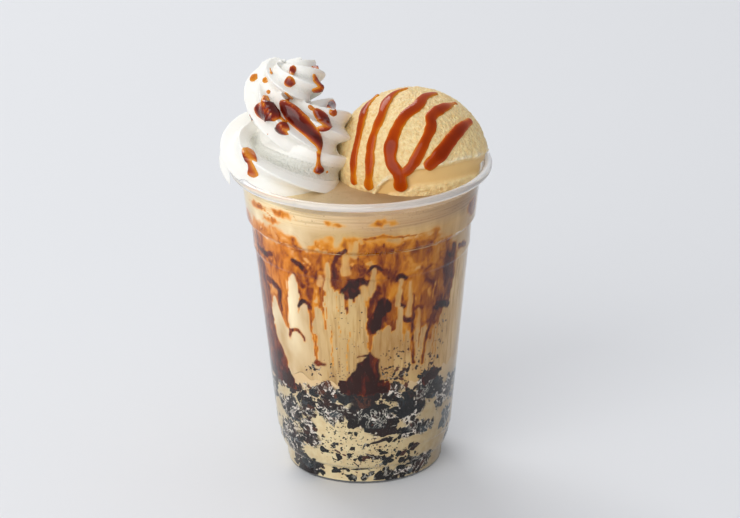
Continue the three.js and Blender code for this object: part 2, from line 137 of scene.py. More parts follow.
# runs on the cream: how thick the sauce lies there, then its places as (x, z) on the upright plane
# through the swirl's axis, seen from the camera, with its half width, all in mm
CREAM_SAUCE = (
    (2.3, ((-29.5, 143.7, 0.6), (-28.0, 141.8, 1.7), (-25.6, 139.0, 2.6), (-22.7, 135.8, 2.8),
        (-19.8, 132.6, 2.8), (-17.4, 129.2, 2.5), (-15.7, 126.4, 1.7), (-15.4, 123.9, 0.9),
        (-15.7, 120.7, 0.6), (-15.8, 117.8, 0.9), (-15.7, 115.7, 1.9), (-15.7, 114.1, 1.6))),
    (2.2, ((-39.3, 140.6, 0.9), (-37.1, 140.3, 2.3), (-34.4, 139.4, 3.3), (-31.6, 138.0, 2.4),
        (-29.4, 136.7, 1.2))),
    (1.3, ((-35.0, 146.0, 0.5), (-35.6, 143.5, 0.9), (-35.4, 141.5, 1.4))),
    (0.5, ((-34.5, 145.9, 0.5), (-33.0, 141.5, 0.7), (-30.1, 137.4, 0.7), (-27.0, 134.2, 0.5))),
    (2.0, ((-29.8, 135.3, 1.1), (-29.0, 133.2, 2.2), (-28.7, 131.3, 2.6), (-28.7, 130.3, 2.1))),
    (1.9, ((-17.2, 140.2, 0.7), (-15.3, 138.0, 1.6), (-13.8, 135.7, 2.2), (-13.3, 133.2, 2.7),
        (-12.9, 131.2, 2.2))),
    (0.55, ((-42.0, 125.5, 1.7), (-41.6, 123.0, 2.1), (-40.7, 120.0, 1.8), (-40.0, 117.0, 1.8),
        (-39.8, 114.5, 2.2), (-39.9, 113.2, 1.7))),
    (1.4, ((-24.1, 157.4, 0.7), (-24.4, 155.6, 1.1), (-25.1, 153.4, 0.8), (-25.6, 151.1, 1.6),
        (-25.8, 149.6, 1.8), (-25.5, 148.5, 1.4))),
    (0.6, ((-17.6, 156.8, 0.7), (-15.9, 156.1, 1.5), (-14.5, 155.2, 0.7))),
    (1.6, ((-17.1, 153.9, 0.5), (-16.4, 151.8, 0.9), (-15.7, 149.5, 1.7), (-15.3, 147.7, 2.0),
        (-15.4, 146.9, 1.6))),
    (1.3, ((-6.6, 145.9, 0.5), (-8.4, 143.7, 1.2), (-10.2, 141.5, 1.5), (-11.5, 140.2, 1.4),
        (-9.8, 138.5, 1.2), (-8.6, 137.4, 0.7))),
    (0.5, ((-7.2, 141.7, 0.6), (-6.0, 141.0, 0.6))),
    (1.0, ((-40.7, 138.2, 0.5), (-40.3, 137.1, 0.9), (-39.9, 135.8, 0.6))),
    (0.5, ((-40.1, 150.9, 0.6), (-38.8, 152.6, 1.2), (-37.6, 154.2, 0.7))),
    (0.5, ((-35.7, 152.3, 0.7), (-34.7, 151.6, 1.2), (-33.7, 150.8, 0.7))),
    (0.9, ((-33.0, 156.9, 0.3), (-32.6, 155.1, 0.3), (-32.3, 153.5, 0.9))),
    (0.5, ((-33.7, 148.0, 0.5), (-33.6, 146.9, 0.7), (-33.8, 145.9, 0.4))),
    (0.8, ((-27.7, 147.0, 0.6), (-26.1, 145.5, 0.7), (-24.7, 143.7, 0.6))),
    (0.7, ((-29.1, 142.6, 0.6), (-27.1, 143.7, 0.7), (-25.7, 142.5, 0.6))),
    (0.5, ((-34.6, 130.6, 0.6), (-34.0, 130.3, 0.6))),
    (0.5, ((-13.1, 115.4, 0.7), (-12.1, 114.9, 0.5))),
    (0.5, ((-6.5, 132.7, 0.5), (-5.5, 132.4, 0.4))),
    (0.6, ((-19.2, 141.6, 0.6), (-17, 139.6, 0.8))),
)
# smoothing draws the sauce in, so it starts this much wider
SAUCE_SPREAD = 1.28


# ---- numbers and fields ----
def smooth(x):
    """From 0 at 0 to 1 at 1, eased at both ends."""
    t = np.clip(x, 0, 1)
    return t * t * (3 - 2 * t)


def along(stations, t):
    """Value at t along a list of (t, value) stations, eased between them."""
    at, value = (np.array(c, float) for c in zip(*stations))
    i = np.clip(np.searchsorted(at, t, side="right") - 1, 0, len(at) - 2)
    return value[i] + (value[i + 1] - value[i]) * smooth((t - at[i]) / (at[i + 1] - at[i]))


def noise(points, size, seed=0):
    """Smooth random field between -1 and 1 with lumps about `size` across, at an (n, 3) array."""
    q = np.asarray(points, float) / size
    cell = np.floor(q).astype(np.int64)
    f = q - cell
    f = f * f * (3 - 2 * f)
    total = np.zeros(len(q))
    for corner in np.ndindex(2, 2, 2):
        c = cell + corner
        h = (c[:, 0] * 73856093) ^ (c[:, 1] * 19349663) ^ (c[:, 2] * 83492791) ^ (seed * 2654435761)
        h = (h ^ (h >> 13)) * 1274126177 & 0xFFFFFFFF
        h = ((h ^ (h >> 16)) * 2246822519) & 0xFFFFFFFF
        weight = np.prod(np.where(np.array(corner) == 1, f, 1 - f), axis=1)
        total += weight * ((h ^ (h >> 15)) & 0xFFFFFF)
    return total / 0x7FFFFF - 1


def layered(points, size, seed=0):
    """Three octaves of noise."""
    return (noise(points, size, seed) + 0.5 * noise(points, size / 2.1, seed + 1)
            + 0.25 * noise(points, size / 4.3, seed + 2)) / 1.4


def wall_radius(height):
    """Outside radius of the cup's wall."""
    return np.interp(height, WALL_HEIGHTS, WALL_RADII)


def jelly_top(x, y):
    """Height of the jelly's broken top, as in the solids."""
    a, b = x / WAVE_SIZE, y / WAVE_SIZE
    waves = np.sin(a + WAVE_START[0]) * np.cos(b + WAVE_START[1]) + np.sin(1.5 * (a + b)) / 2
    c, d = x / BUMP_SIZE, y / BUMP_SIZE
    bumps = np.sin(c + 2 * np.sin(d / 3)) * np.sin(d + c / 4)
    return JELLY_LEVEL + JELLY_WAVE * waves / 1.5 + JELLY_BUMP * bumps


def on_wall(azimuth, height, radius):
    """Places round the cup's axis: azimuths in degrees, heights and radii in millimetres."""
    a = np.radians(azimuth)
    return np.stack((radius * np.cos(a), radius * np.sin(a), height + 0 * a), axis=1)


# ---- meshes ----
def choose(*pieces):
    """Selects only these pieces, and makes the first of them active."""
    if bpy.context.object and bpy.context.object.mode != "OBJECT":
        bpy.ops.object.mode_set(mode="OBJECT")
    bpy.ops.object.select_all(action="DESELECT")
    for piece in pieces:
        piece.select_set(True)
    if pieces:
        bpy.context.view_layer.objects.active = pieces[0]


def corners(piece):
    """A piece's corners in millimetres."""
    flat = np.empty(len(piece.data.vertices) * 3)
    piece.data.vertices.foreach_get("co", flat)
    return flat.reshape(-1, 3) / MM


def set_corners(piece, places):
    """Moves a piece's corners to places in millimetres."""
    piece.data.vertices.foreach_set("co", (np.asarray(places) * MM).ravel())
    piece.data.update()


def edit(piece, *steps):
    """Goes into edit mode on the whole piece, does each step and comes back."""
    choose(piece)
    bpy.ops.object.mode_set(mode="EDIT")
    bpy.ops.mesh.select_all(action="SELECT")
    for step in steps:
        step()
    bpy.ops.object.mode_set(mode="OBJECT")


def close_up():
    """Merges what lies together and turns all faces outwards."""
    bpy.ops.mesh.remove_doubles(threshold=0.002 * MM)
    bpy.ops.mesh.normals_make_consistent(inside=False)


def sheet(name, columns, rows, place):
    """A grid whose corners go where place(u, v) says, u and v running from 0 to 1, with its seams
    and poles merged."""
    choose()
    bpy.ops.mesh.primitive_grid_add(x_subdivisions=columns, y_subdivisions=rows, size=1)
    piece = bpy.context.object
    piece.name = piece.data.name = name
    co = corners(piece) * MM
    set_corners(piece, place(co[:, 0] + 0.5, co[:, 1] + 0.5))
    edit(piece, close_up)
    return piece


def modify(piece, kind, **settings):
    """Adds a modifier and applies it."""
    modifier = piece.modifiers.new(kind.title(), kind)
    for key, value in settings.items():
        setattr(modifier, key, value)
    choose(piece)
    bpy.ops.object.modifier_apply(modifier=modifier.name)


def shade(piece, angle=None):
    """Smooth shading, all over or up to an angle in degrees."""
    choose(piece)
    if angle is None:
        bpy.ops.object.shade_smooth()
    else:
        bpy.ops.object.shade_smooth_by_angle(angle=math.radians(angle))


def mesh_piece(name, places, faces):
    """A new piece from places in millimetres."""
    data = bpy.data.meshes.new(name)
    data.from_pydata((np.asarray(places) * MM).tolist(), [], [list(map(int, f)) for f in faces])
    piece = bpy.data.objects.new(name, data)
    bpy.context.scene.collection.objects.link(piece)
    return piece


def join(name, pieces):
    choose(*pieces)
    if len(pieces) > 1:
        bpy.ops.object.join()
    whole = pieces[0]
    whole.name = whole.data.name = name
    return whole


def attribute(piece, name, values):
    """Stores a value at each corner, for the materials."""
    made = piece.data.attributes.get(name) or piece.data.attributes.new(name, "FLOAT", "POINT")
    made.data.foreach_set("value", np.asarray(values, np.float32))


def tree_of(piece):
    """Search tree of a piece's surface, in millimetres."""
    piece.data.calc_loop_triangles()
    faces = [tuple(t.vertices) for t in piece.data.loop_triangles]
    return BVHTree.FromPolygons(corners(piece).tolist(), faces)


def azimuth_of(places):
    """Azimuth of each place round the origin, in degrees."""
    return np.degrees(np.arctan2(places[:, 1], places[:, 0]))


def finish_piece(piece, material, slot, *nodes):
    """Gives a piece its material and body, and hides the solids that it stands in for. Its slot is
    not used.
    """
    piece.data.materials.clear()
    piece.data.materials.append(material)
    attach(piece, "root")
    if nodes:
        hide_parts(*nodes)


# ---- materials ----
def rgb(code):
    """A hex colour as sRGB, turned to the linear values that shaders take. Other values stay."""
    if not isinstance(code, str):
        return code
    parts = [int(code[i:i + 2], 16) / 255 for i in (1, 3, 5)]
    return (*[c / 12.92 if c <= 0.04045 else ((c + 0.055) / 1.055) ** 2.4 for c in parts], 1.0)


def add(tree, kind, inputs=None, stops=None, **settings):
    """Adds a node with its settings, its inputs and a ramp's colour stops. An input is a value, a
    hex colour, a socket, or a node, which stands for its first output."""
    made = tree.nodes.new("ShaderNode" + kind)
    for key, value in settings.items():
        setattr(made, key, value)
    for key, value in (inputs or {}).items():
        if isinstance(value, bpy.types.Node):
            value = value.outputs[0]
        if isinstance(value, bpy.types.NodeSocket):
            tree.links.new(value, made.inputs[key])
        else:
            made.inputs[key].default_value = rgb(value)
    for i, (place, code) in enumerate(stops or ()):
        ramp = made.color_ramp.elements
        stop = ramp[i] if i < 2 else ramp.new(place)
        stop.position, stop.color = place, rgb(code)
    return made


def new_material(name):
    material = bpy.data.materials.new(name)
    material.use_nodes = True
    material.node_tree.nodes.clear()
    return material, material.node_tree


def colour_property(name, code, description):
    return bpy.props.FloatVectorProperty(
        name=name, description=description, default=rgb(code), subtype="COLOR", size=4, min=0,
        max=1)


def length_property(name, millimetres, description):
    return bpy.props.FloatProperty(
        name=name, description=description, default=millimetres * MM, min=0, unit="LENGTH",
        subtype="DISTANCE", precision=4)


def sideways(tree, stops, colour=None):
    """A tint that changes from the left of the cup, 0, to its right, 1, or a colour so tinted."""
    across = add(tree, "SeparateXYZ", {0: add(tree, "TexCoord").outputs["Object"]}).outputs["X"]
    share = add(tree, "MapRange", {"Value": across, "From Min": -0.036, "From Max": 0.036})
    tint = add(tree, "ValToRGB", {"Fac": share}, stops=stops)
    if colour is None:
        return tint
    return add(tree, "MixRGB", {"Fac": 1.0, "Color1": colour, "Color2": tint},
               blend_type="MULTIPLY")


def milk_colour(tree, settings):
    """Colour of the milk coffee: pale, with tan clouds, fine upright streaks where it has run down
    the wall, and a band of greyer froth at the top."""
    place = add(tree, "TexCoord").outputs["Object"]
    height = add(tree, "SeparateXYZ", {0: place}).outputs["Z"]
    clouds = add(tree, "TexNoise", {
        "Vector": add(tree, "Mapping", {"Vector": place, "Scale": (1, 1, 0.45)}),
        "Scale": 70.0, "Detail": 3.0, "Roughness": 0.55, "Distortion": 0.4})
    body = add(tree, "ValToRGB", {"Fac": clouds}, stops=(
        (0.32, settings.pale), (0.72, settings.tan)))
    streaks = add(tree, "TexNoise", {
        "Vector": add(tree, "Mapping", {"Vector": place, "Scale": (1, 1, 0.035)}),
        "Scale": 750.0, "Detail": 2.0, "Roughness": 0.6})
    lines = add(tree, "ValToRGB", {"Fac": streaks}, stops=(
        (0.48, "#ffffff"), (0.58, "#e6d0a0"), (0.72, "#a88444")))
    low = add(tree, "MapRange", {"Value": height, "From Min": 0.088, "From Max": 0.1,
                                 "To Min": 0.5, "To Max": 0.12})
    # the left of the cup is smoother
    drawn = add(tree, "Math", {0: low,
                               1: sideways(tree, ((0.18, "#303030"), (0.34, "#ffffff")))},
                operation="MULTIPLY")
    streaked = add(tree, "MixRGB", {"Fac": drawn, "Color1": body, "Color2": lines},
                   blend_type="MULTIPLY")
    streaked = sideways(tree, (
        (0.14, "#ffffff"), (0.29, "#dfcfb3"), (0.42, "#ceba97"), (0.66, "#dac4a0"),
        (0.92, "#f1dcb9")), streaked)
    wavy = add(tree, "Math", {0: clouds, 1: 0.006, 2: height}, operation="MULTIPLY_ADD")
    froth = add(tree, "MapRange", {"Value": wavy, "From Min": 0.1085, "From Max": 0.1125})
    # the froth is paler on the left and darker and browner towards the right: partly its own
    # colour, partly painted shade on the side away from the lamps
    foam = sideways(tree, ((0.05, "#f6e4ba"), (0.5, settings.froth), (1.0, "#bd9c74")))
    # level lines that the froth has left on the wall, and bubbles and grounds about 0.5 mm across
    levels = add(tree, "TexNoise", {
        "Vector": add(tree, "Mapping", {"Vector": place, "Scale": (0.12, 0.12, 4.5)}),
        "Scale": 260.0, "Detail": 2.0})
    lined = add(tree, "ValToRGB", {"Fac": levels}, stops=(
        (0.35, "#d9cfc2"), (0.5, "#ffffff"), (0.66, "#eee6da")))
    specks = add(tree, "TexNoise", {"Vector": place, "Scale": 1500.0, "Detail": 2.0})
    spotted = add(tree, "ValToRGB", {"Fac": specks}, stops=(
        (0.3, "#fff6e6"), (0.42, "#ffffff"), (0.66, "#ffffff"), (0.74, "#a07c58")))
    for marks in (lined, spotted):
        foam = add(tree, "MixRGB", {"Fac": 0.8, "Color1": foam, "Color2": marks},
                   blend_type="MULTIPLY")
    return add(tree, "MixRGB", {"Fac": froth, "Color1": streaked, "Color2": foam})


def clear_plastic(name, surface, let_through):
    """Thermoformed PET: clear, bright and smooth. Lamps shine straight through it, so that the
    drink behind it is lit as through a real thin wall."""
    material, tree = new_material(name)
    plastic = add(tree, "BsdfPrincipled", {"Base Color": (1, 1, 1, 1), **surface})
    through = add(tree, "BsdfTransparent", {"Color": let_through})
    lamp = add(tree, "LightPath").outputs["Is Shadow Ray"]
    both = add(tree, "MixShader", {0: lamp, 1: plastic, 2: through})
    add(tree, "OutputMaterial", {"Surface": both})
    return material


def milk_coffee(settings):
    """Iced coffee with milk: opaque and matt behind the wall, which gives it all its gloss."""
    material, tree = new_material("Milk coffee")
    add(tree, "OutputMaterial", {"Surface": add(tree, "BsdfPrincipled", {
        "Base Color": milk_colour(tree, settings), "Roughness": 0.4, "Specular IOR Level": 0.08})})
    return material


def wall_syrup(settings, drink):
    """Caramel syrup in a film on the inside of the wall: amber where thin, near black where thick.
    The film fades to the drink's own colour at its edges."""
    material, tree = new_material("Caramel syrup, in a film")
    film = add(tree, "Attribute", attribute_name="syrup").outputs["Fac"]
    # the syrup has run in threads about 1 mm across
    threads = add(tree, "TexNoise", {
        "Vector": add(tree, "Mapping", {"Vector": add(tree, "TexCoord").outputs["Object"],
                                        "Scale": (1, 1, 0.45)}),
        "Scale": 330.0, "Detail": 2.0, "Distortion": 0.8})
    uneven = add(tree, "MapRange", {"Value": threads, "From Min": 0.3,
                                    "From Max": 0.7, "To Min": 0.62, "To Max": 1.4})
    depth = add(tree, "Math", {0: film, 1: uneven}, operation="MULTIPLY")
    tones = add(tree, "ValToRGB", {"Fac": depth}, stops=(
        (0.0, "#ecbc62"), (0.14, "#e2a640"), (0.27, settings.film_thin), (0.42, "#a8600a"),
        (0.6, settings.film), (0.78, "#561a10"), (1.0, settings.film_thick)))
    # redder on the left, and darker and browner towards the right: partly coffee mixed into it,
    # partly painted shade on the side away from the lamps
    tones = sideways(tree, (
        (0.1, "#ffe8d8"), (0.4, "#f2ead8"), (0.62, "#ece0c8"), (1.0, "#d8c7ac")), tones)
    cover = add(tree, "Attribute", attribute_name="cover").outputs["Fac"]
    colour = add(tree, "MixRGB", {"Fac": cover, "Color1": milk_colour(tree, drink),
                                  "Color2": tones})
    add(tree, "OutputMaterial", {"Surface": add(tree, "BsdfPrincipled", {
        "Base Color": colour, "Roughness": 0.35, "Specular IOR Level": 0.0})})
    return material


def milk_net(tree, place, stops):
    """Crooked threads of milk, about 0.5 mm wide, over the pieces of jelly and among them: the
    stops colour a noise, which is near 0.5 along a thread."""
    crooked = add(tree, "TexNoise", {"Vector": place, "Scale": 190.0, "Detail": 4.0,
                                     "Roughness": 0.62, "Distortion": 1.0})
    return add(tree, "ValToRGB", {"Fac": crooked}, stops=stops)


def wisps(tree):
    """Where thin threads of milk lie over the jelly: 0 to 1."""
    place = add(tree, "TexCoord").outputs["Object"]
    line = milk_net(tree, place, (
        (0.476, "#000000"), (0.492, "#e0e0e0"), (0.508, "#e0e0e0"), (0.524, "#000000")))
    patchy = add(tree, "TexNoise", {"Vector": place, "Scale": 110.0, "Detail": 2.0})
    some = add(tree, "MapRange", {"Value": patchy, "From Min": 0.5, "From Max": 0.58})
    return add(tree, "Math", {0: line, 1: some}, operation="MULTIPLY")


def coffee_gel(settings):
    """Crushed coffee jelly: near black, blue-grey with a painted sheen and a thin veil of milk, and
    brown in places.
    """
    material, tree = new_material("Coffee jelly, crushed")
    tone = add(tree, "Attribute", attribute_name="tone").outputs["Fac"]
    colour = add(tree, "ValToRGB", {"Fac": tone}, stops=(
        (0.0, "#5a3020"), (0.25, "#2c1916"), (0.5, settings.jelly), (0.78, "#1a1d20"),
        (1.0, settings.sheen)))
    colour = add(tree, "MixRGB", {"Fac": wisps(tree), "Color1": colour, "Color2": "#cfc9bc"})
    add(tree, "OutputMaterial", {"Surface": add(tree, "BsdfPrincipled", {
        "Base Color": colour, "Roughness": 0.3, "Specular IOR Level": 0.12})})
    return material


def bed_milk(settings):
    """Milk between the pieces of jelly, stained by them."""
    material, tree = new_material("Milk between the jelly")
    place = add(tree, "TexCoord").outputs["Object"]
    stain = add(tree, "TexNoise", {"Vector": place, "Scale": 420.0, "Detail": 4.0})
    clean = add(tree, "ValToRGB", {"Fac": stain}, stops=((0.3, settings.bed), (0.75, "#cdb58a")))
    among = milk_net(tree, place, (
        (0.4, "#2e2626"), (0.445, "#584e4c"), (0.47, "#d8d0c6"), (0.525, "#e6dfd2"),
        (0.555, "#5c4e47"), (0.63, "#2a2221")))
    stained = add(tree, "Attribute", attribute_name="stain").outputs["Fac"]
    # the milk is darker and pinker towards the right: partly its own colour, partly painted shade
    # on the side away from the lamps
    clean = sideways(tree, (
        (0.0, "#f8f8fc"), (0.3, "#ffffff"), (0.7, "#f0eae2"), (1.0, "#dcd2cf")), clean)
    # it turns into the drink above it
    height = add(tree, "SeparateXYZ", {0: place}).outputs["Z"]
    up = add(tree, "MapRange", {"Value": height, "From Min": 0.036, "From Max": 0.043})
    clean = add(tree, "MixRGB", {"Fac": up, "Color1": clean, "Color2": "#d9bd90"})
    colour = add(tree, "MixRGB", {"Fac": stained, "Color1": clean, "Color2": among})
    add(tree, "OutputMaterial", {"Surface": add(tree, "BsdfPrincipled", {
        "Base Color": colour, "Roughness": 0.45, "Specular IOR Level": 0.05})})
    return material


def vanilla_ice(settings):
    """Churned vanilla ice cream: pale, with an icy grain where the scoop tore it and a smooth band
    where the rim of the scoop pressed it."""
    material, tree = new_material("Vanilla ice cream, scooped")
    place = add(tree, "TexCoord").outputs["Object"]
    frost = add(tree, "Attribute", attribute_name="frost").outputs["Fac"]
    band = add(tree, "Attribute", attribute_name="band").outputs["Fac"]
    # a darker and lighter mottle, which stands for painted shade in the hollows of the grain and
    # painted light on what stands out
    lumps = add(tree, "TexNoise", {"Vector": place, "Scale": 700.0, "Detail": 4.0})
    body = add(tree, "ValToRGB", {"Fac": lumps}, stops=(
        (0.3, settings.dark), (0.62, settings.light)))
    pressed = add(tree, "MixRGB", {"Fac": band, "Color1": body, "Color2": "#e8c07c"})
    colour = add(tree, "MixRGB", {"Fac": frost, "Color1": pressed, "Color2": "#f7ecd2"})
    # ice crystals are about 0.3 mm across
    grain = add(tree, "TexNoise", {"Vector": place, "Scale": 1600.0, "Detail": 4.0})
    torn = add(tree, "MapRange", {"Value": band, "To Min": 0.9, "To Max": 0.12})
    bump = add(tree, "Bump", {"Height": grain, "Strength": torn, "Distance": 0.0006})
    add(tree, "OutputMaterial", {"Surface": add(tree, "BsdfPrincipled", {
        "Base Color": colour, "Roughness": 0.4, "Normal": bump,
        "Subsurface Weight": 0.15, "Subsurface Radius": (1.0, 0.7, 0.4),
        "Subsurface Scale": 0.0015})})
    return material


def whipped(settings):
    """Whipped cream: white, soft to the light, with a fine foam grain and painted shade in the wide
    grooves.
    """
    material, tree = new_material("Whipped cream, piped")
    place = add(tree, "TexCoord").outputs["Object"]
    rough = add(tree, "Attribute", attribute_name="groove").outputs["Fac"]
    # bubbles of the foam are about 0.5 mm across
    foam = add(tree, "TexNoise", {"Vector": place, "Scale": 1100.0, "Detail": 4.0})
    height = add(tree, "Math", {0: foam, 1: rough}, operation="MULTIPLY")
    bump = add(tree, "Bump", {"Height": height, "Strength": 1.0, "Distance": 0.0009})
    # the wide grooves are painted greyer: painted shade down in them
    colour = add(tree, "MixRGB", {"Fac": rough, "Color1": settings.white,
                                  "Color2": settings.groove})
    add(tree, "OutputMaterial", {"Surface": add(tree, "BsdfPrincipled", {
        "Base Color": colour, "Roughness": 0.45, "Normal": bump,
        "Subsurface Weight": 0.15, "Subsurface Radius": (1.0, 0.9, 0.75),
        "Subsurface Scale": 0.002})})
    return material


def sauce_on(name, stops, shine):
    """Caramel sauce on a pale food: amber at its thin edges, darker where it is thick, wet."""
    material, tree = new_material(name)
    thick = add(tree, "Attribute", attribute_name="thick").outputs["Fac"]
    colour = add(tree, "ValToRGB", {"Fac": thick}, stops=stops)
    add(tree, "OutputMaterial", {"Surface": add(tree, "BsdfPrincipled", {
        "Base Color": colour, "Roughness": 0.06, "IOR": 1.42,
        "Specular IOR Level": shine})})
    return material


# ---- caramel film on the inside of the wall: places are (azimuth in degrees, height in mm) ----
# millimetres along the wall for one degree
DEGREE = 0.66
# the apron of film at the top, by azimuth: its upper and lower edge, and its depth from 0 to 1
APRON_TOP = (
    (-180, 104), (-150, 106.5), (-128, 105), (-121, 101), (-112, 104.5), (-106, 106), (-103, 102),
    (-98, 107), (-92, 106), (-88, 105), (-50, 105), (-40, 99), (-30, 96), (0, 104),
)
APRON_FOOT = (
    (-180, 58), (-166, 41), (-157, 46), (-153, 58), (-150.5, 71), (-143, 66), (-137, 61),
    (-134, 84), (-128.5, 85), (-126.5, 77), (-121.5, 75.5), (-119.5, 63), (-117, 75), (-112.5, 73),
    (-110.5, 82), (-107, 82), (-100, 80.5), (-89, 80), (-87, 62), (-84, 66), (-77, 67), (-73, 66),
    (-70, 75), (-68, 75), (-66, 67), (-61, 62), (-55, 65), (-50, 65), (-44, 66), (-35, 70),
    (-30, 82), (-18, 92), (-8, 80), (0, 58),
)
APRON_DEPTH = (
    (-180, 0.46), (-160, 0.48), (-148, 0.36), (-140, 0.4), (-132, 0.42), (-122, 0.5), (-113, 0.48),
    (-108, 0.46), (-101, 0.5), (-96, 0.5), (-90, 0.54), (-82, 0.58), (-72, 0.54), (-64, 0.42),
    (-56, 0.44), (-48, 0.46), (-40, 0.6), (-33, 0.58), (-28, 0.08), (-12, 0.04), (-6, 0.3),
    (0, 0.46),
)
# patches: azimuth, height, half width in degrees, half height in mm, depth of the syrup from 0 to 1
CLOUDS = (
    (-162, 66, 12, 26, 0.6), (-156, 49, 14, 10, 0.66), (-101, 85.5, 7, 3.5, 0.56),
    (-80, 74, 5, 8, 0.6), (-120, 81, 5, 4, 0.46), (-36, 84, 6, 10, 0.56), (-20, 106, 8, 5, 0.42),
    (-107, 111.2, 4, 1.8, 0.34), (-81, 110.6, 8, 2.1, 0.35), (-144, 107, 9, 1.6, 0.3),
    (-58, 104.5, 12, 1.0, 0.36), (-150, 110.5, 10, 1.7, 0.34), (-132, 111, 8, 1.3, 0.3),
    (-101.5, 110.2, 6, 1.5, 0.32), (-152, 40.5, 24, 2.6, 0.92), (-118, 51.5, 4, 1.2, 0.7),
    (-45, 43, 9, 2.2, 0.85), (-24, 92, 6, 2, 0.5), (-22, 99, 6, 2, 0.34), (-96, 87, 5, 4, 0.5),
    (-76, 96, 9, 6, 0.42), (-57, 97, 8, 7, 0.46),
)
# strokes: their places, half width at either end in mm, depth
STROKES = (
    (((-98, 82), (-95, 84.5), (-91, 86.3), (-86.5, 86)), 2.4, 1.7, 0.95),
    (((-97, 81), (-92, 82)), 1.4, 1.2, 0.92),
    (((-129, 92.5), (-125, 91.5), (-121, 89.5)), 1.3, 1.2, 0.82),
    (((-128.5, 86), (-124.5, 83.5)), 1.2, 1.0, 0.78),
    (((-99, 99.5), (-102, 97), (-104.5, 94), (-105, 90), (-103.5, 88)), 0.8, 1.2, 0.72),
    (((-92, 96.5), (-89.5, 94), (-88.5, 91.5), (-91, 89.5)), 0.6, 0.9, 0.6),
    (((-77.5, 76.5), (-81, 73), (-83, 69), (-84, 67)), 2.8, 1.5, 1.0),
    (((-83, 82), (-86, 74), (-86.5, 66)), 2.2, 1.5, 0.68),
    (((-86, 68), (-85.9, 55)), 1.1, 0.6, 0.42),
    (((-33, 93), (-35, 88), (-37, 80), (-40, 73), (-45, 66)), 2.4, 2.2, 0.62),
    (((-44, 72), (-39, 71), (-34.5, 70)), 1.8, 1.4, 0.98),
    (((-27, 93), (-24, 92), (-20, 91.5)), 1.2, 1.0, 0.62),
    (((-162, 91), (-150, 90), (-145, 92)), 1.1, 0.7, 0.72),
    (((-166, 80), (-155, 80.5), (-147, 79.5), (-142.5, 77), (-141.5, 70),
        (-142, 65)), 1.6, 0.8, 0.7),
    (((-66.5, 69.6), (-62, 68.5)), 0.9, 0.8, 0.85),
    (((-69.5, 76.8), (-67.5, 75.3)), 0.8, 0.8, 0.95),
    (((-78, 89.2), (-77.6, 88.6)), 0.9, 0.8, 0.64), (((-80.6, 103), (-80.2, 97)), 0.7, 0.3, 0.56),
    (((-89, 104.6), (-76, 105.6), (-62, 104.4)), 0.9, 0.5, 0.4),
    (((-93, 55.4), (-87, 56)), 0.5, 0.9, 0.8), (((-87, 56), (-82, 54)), 0.9, 0.6, 0.8),
    (((-86, 56.8), (-85.8, 53), (-88, 49.5), (-90, 46)), 0.8, 6.6, 0.86),
    (((-100, 43.5), (-90, 42), (-79, 43)), 3.2, 2.6, 0.95),
    (((-154, 64), (-152, 56), (-149, 49), (-144, 42.5)), 1.6, 2.4, 0.74),
    (((-138, 90), (-137.3, 74), (-136.8, 60), (-136.7, 43)), 1.6, 0.5, 0.34),
    (((-119.6, 80), (-119.4, 55)), 0.9, 0.5, 0.42), (((-118.2, 64), (-118.6, 51)), 0.6, 0.5, 0.4),
    (((-112.6, 82), (-112.2, 66)), 0.6, 0.35, 0.36),
    (((-108.8, 66), (-108.6, 51)), 0.4, 0.3, 0.34), (((-110.4, 84), (-110.6, 71)), 0.3, 0.2, 0.3),
    (((-104.2, 80), (-104, 64)), 0.2, 0.15, 0.26), (((-126.5, 80), (-127.4, 72)), 0.6, 0.4, 0.4),
    (((-61.3, 80), (-60.8, 64), (-59.2, 51)), 0.6, 1.0, 0.66),
    (((-47.5, 68), (-50, 62), (-52.5, 50)), 1.6, 1.0, 0.62),
    (((-56, 68), (-56, 57)), 0.6, 0.3, 0.44), (((-45.4, 66), (-45, 52)), 0.4, 0.25, 0.3),
    (((-42.6, 64), (-42.5, 50)), 0.3, 0.2, 0.26), (((-98.6, 66), (-98.9, 51)), 0.25, 0.2, 0.22),
    (((-148, 112), (-140, 108)), 0.5, 0.3, 0.34),
)
# pale fingers of milk that have run up under the syrup: top place, bottom place, half width at
# either end in mm, how much of the syrup they clear, depth of the arch over their top
FINGERS = (
    ((-130.5, 85), (-131.5, 42), 1.5, 3.4, 1.0, 0),
    ((-147.5, 72), (-143.5, 59), 1.5, 4.4, 1.0, 0.36), ((-140, 58), (-134, 46), 5.0, 4.2, 1.0, 0),
    ((-123.7, 74), (-123.8, 62), 1.8, 2.2, 1.0, 0.95),
    ((-132, 59.5), (-131, 42), 2.8, 5.0, 0.9, 0.66), ((-109, 93), (-109, 83), 0.8, 1.4, 0.95, 0),
    ((-97.6, 97), (-98, 90), 1.2, 1.9, 0.6, 0), ((-93.6, 103), (-94, 97), 0.8, 1.2, 0.7, 0),
    ((-83, 90.6), (-86.2, 81), 1.15, 1.0, 0.95, 0.9),
    ((-68.5, 86.4), (-70.2, 76), 0.75, 0.8, 0.95, 0.88),
    ((-88.6, 84), (-89.4, 80), 1.1, 1.4, 0.8, 0), ((-63, 85), (-63.6, 71), 0.6, 1.2, 0.8, 0),
    ((-121, 103), (-119, 98), 1.6, 1.0, 0.7, 0),
    ((-57.4, 72), (-58, 60), 0.7, 0.9, 0.6, 0.5), ((-112.8, 88), (-113.4, 84), 0.9, 1.2, 0.5, 0),
    ((-148, 107.5), (-153, 107), 1.4, 2.2, 0.9, 0),
)
# the syrup and the jelly are laid again on the far side, turned in degrees and raised in mm
SYRUP_SIDES = ((0, 0), (180.0, 2.0))
JELLY_SIDES = ((0, 0), (180.0, 1.0))
# the film covers the milk from the first depth on and is thick from the second, with an edge in mm
SYRUP_SHOWS, SYRUP_THICK, SYRUP_EDGE = 0.2, 0.7, 0.5
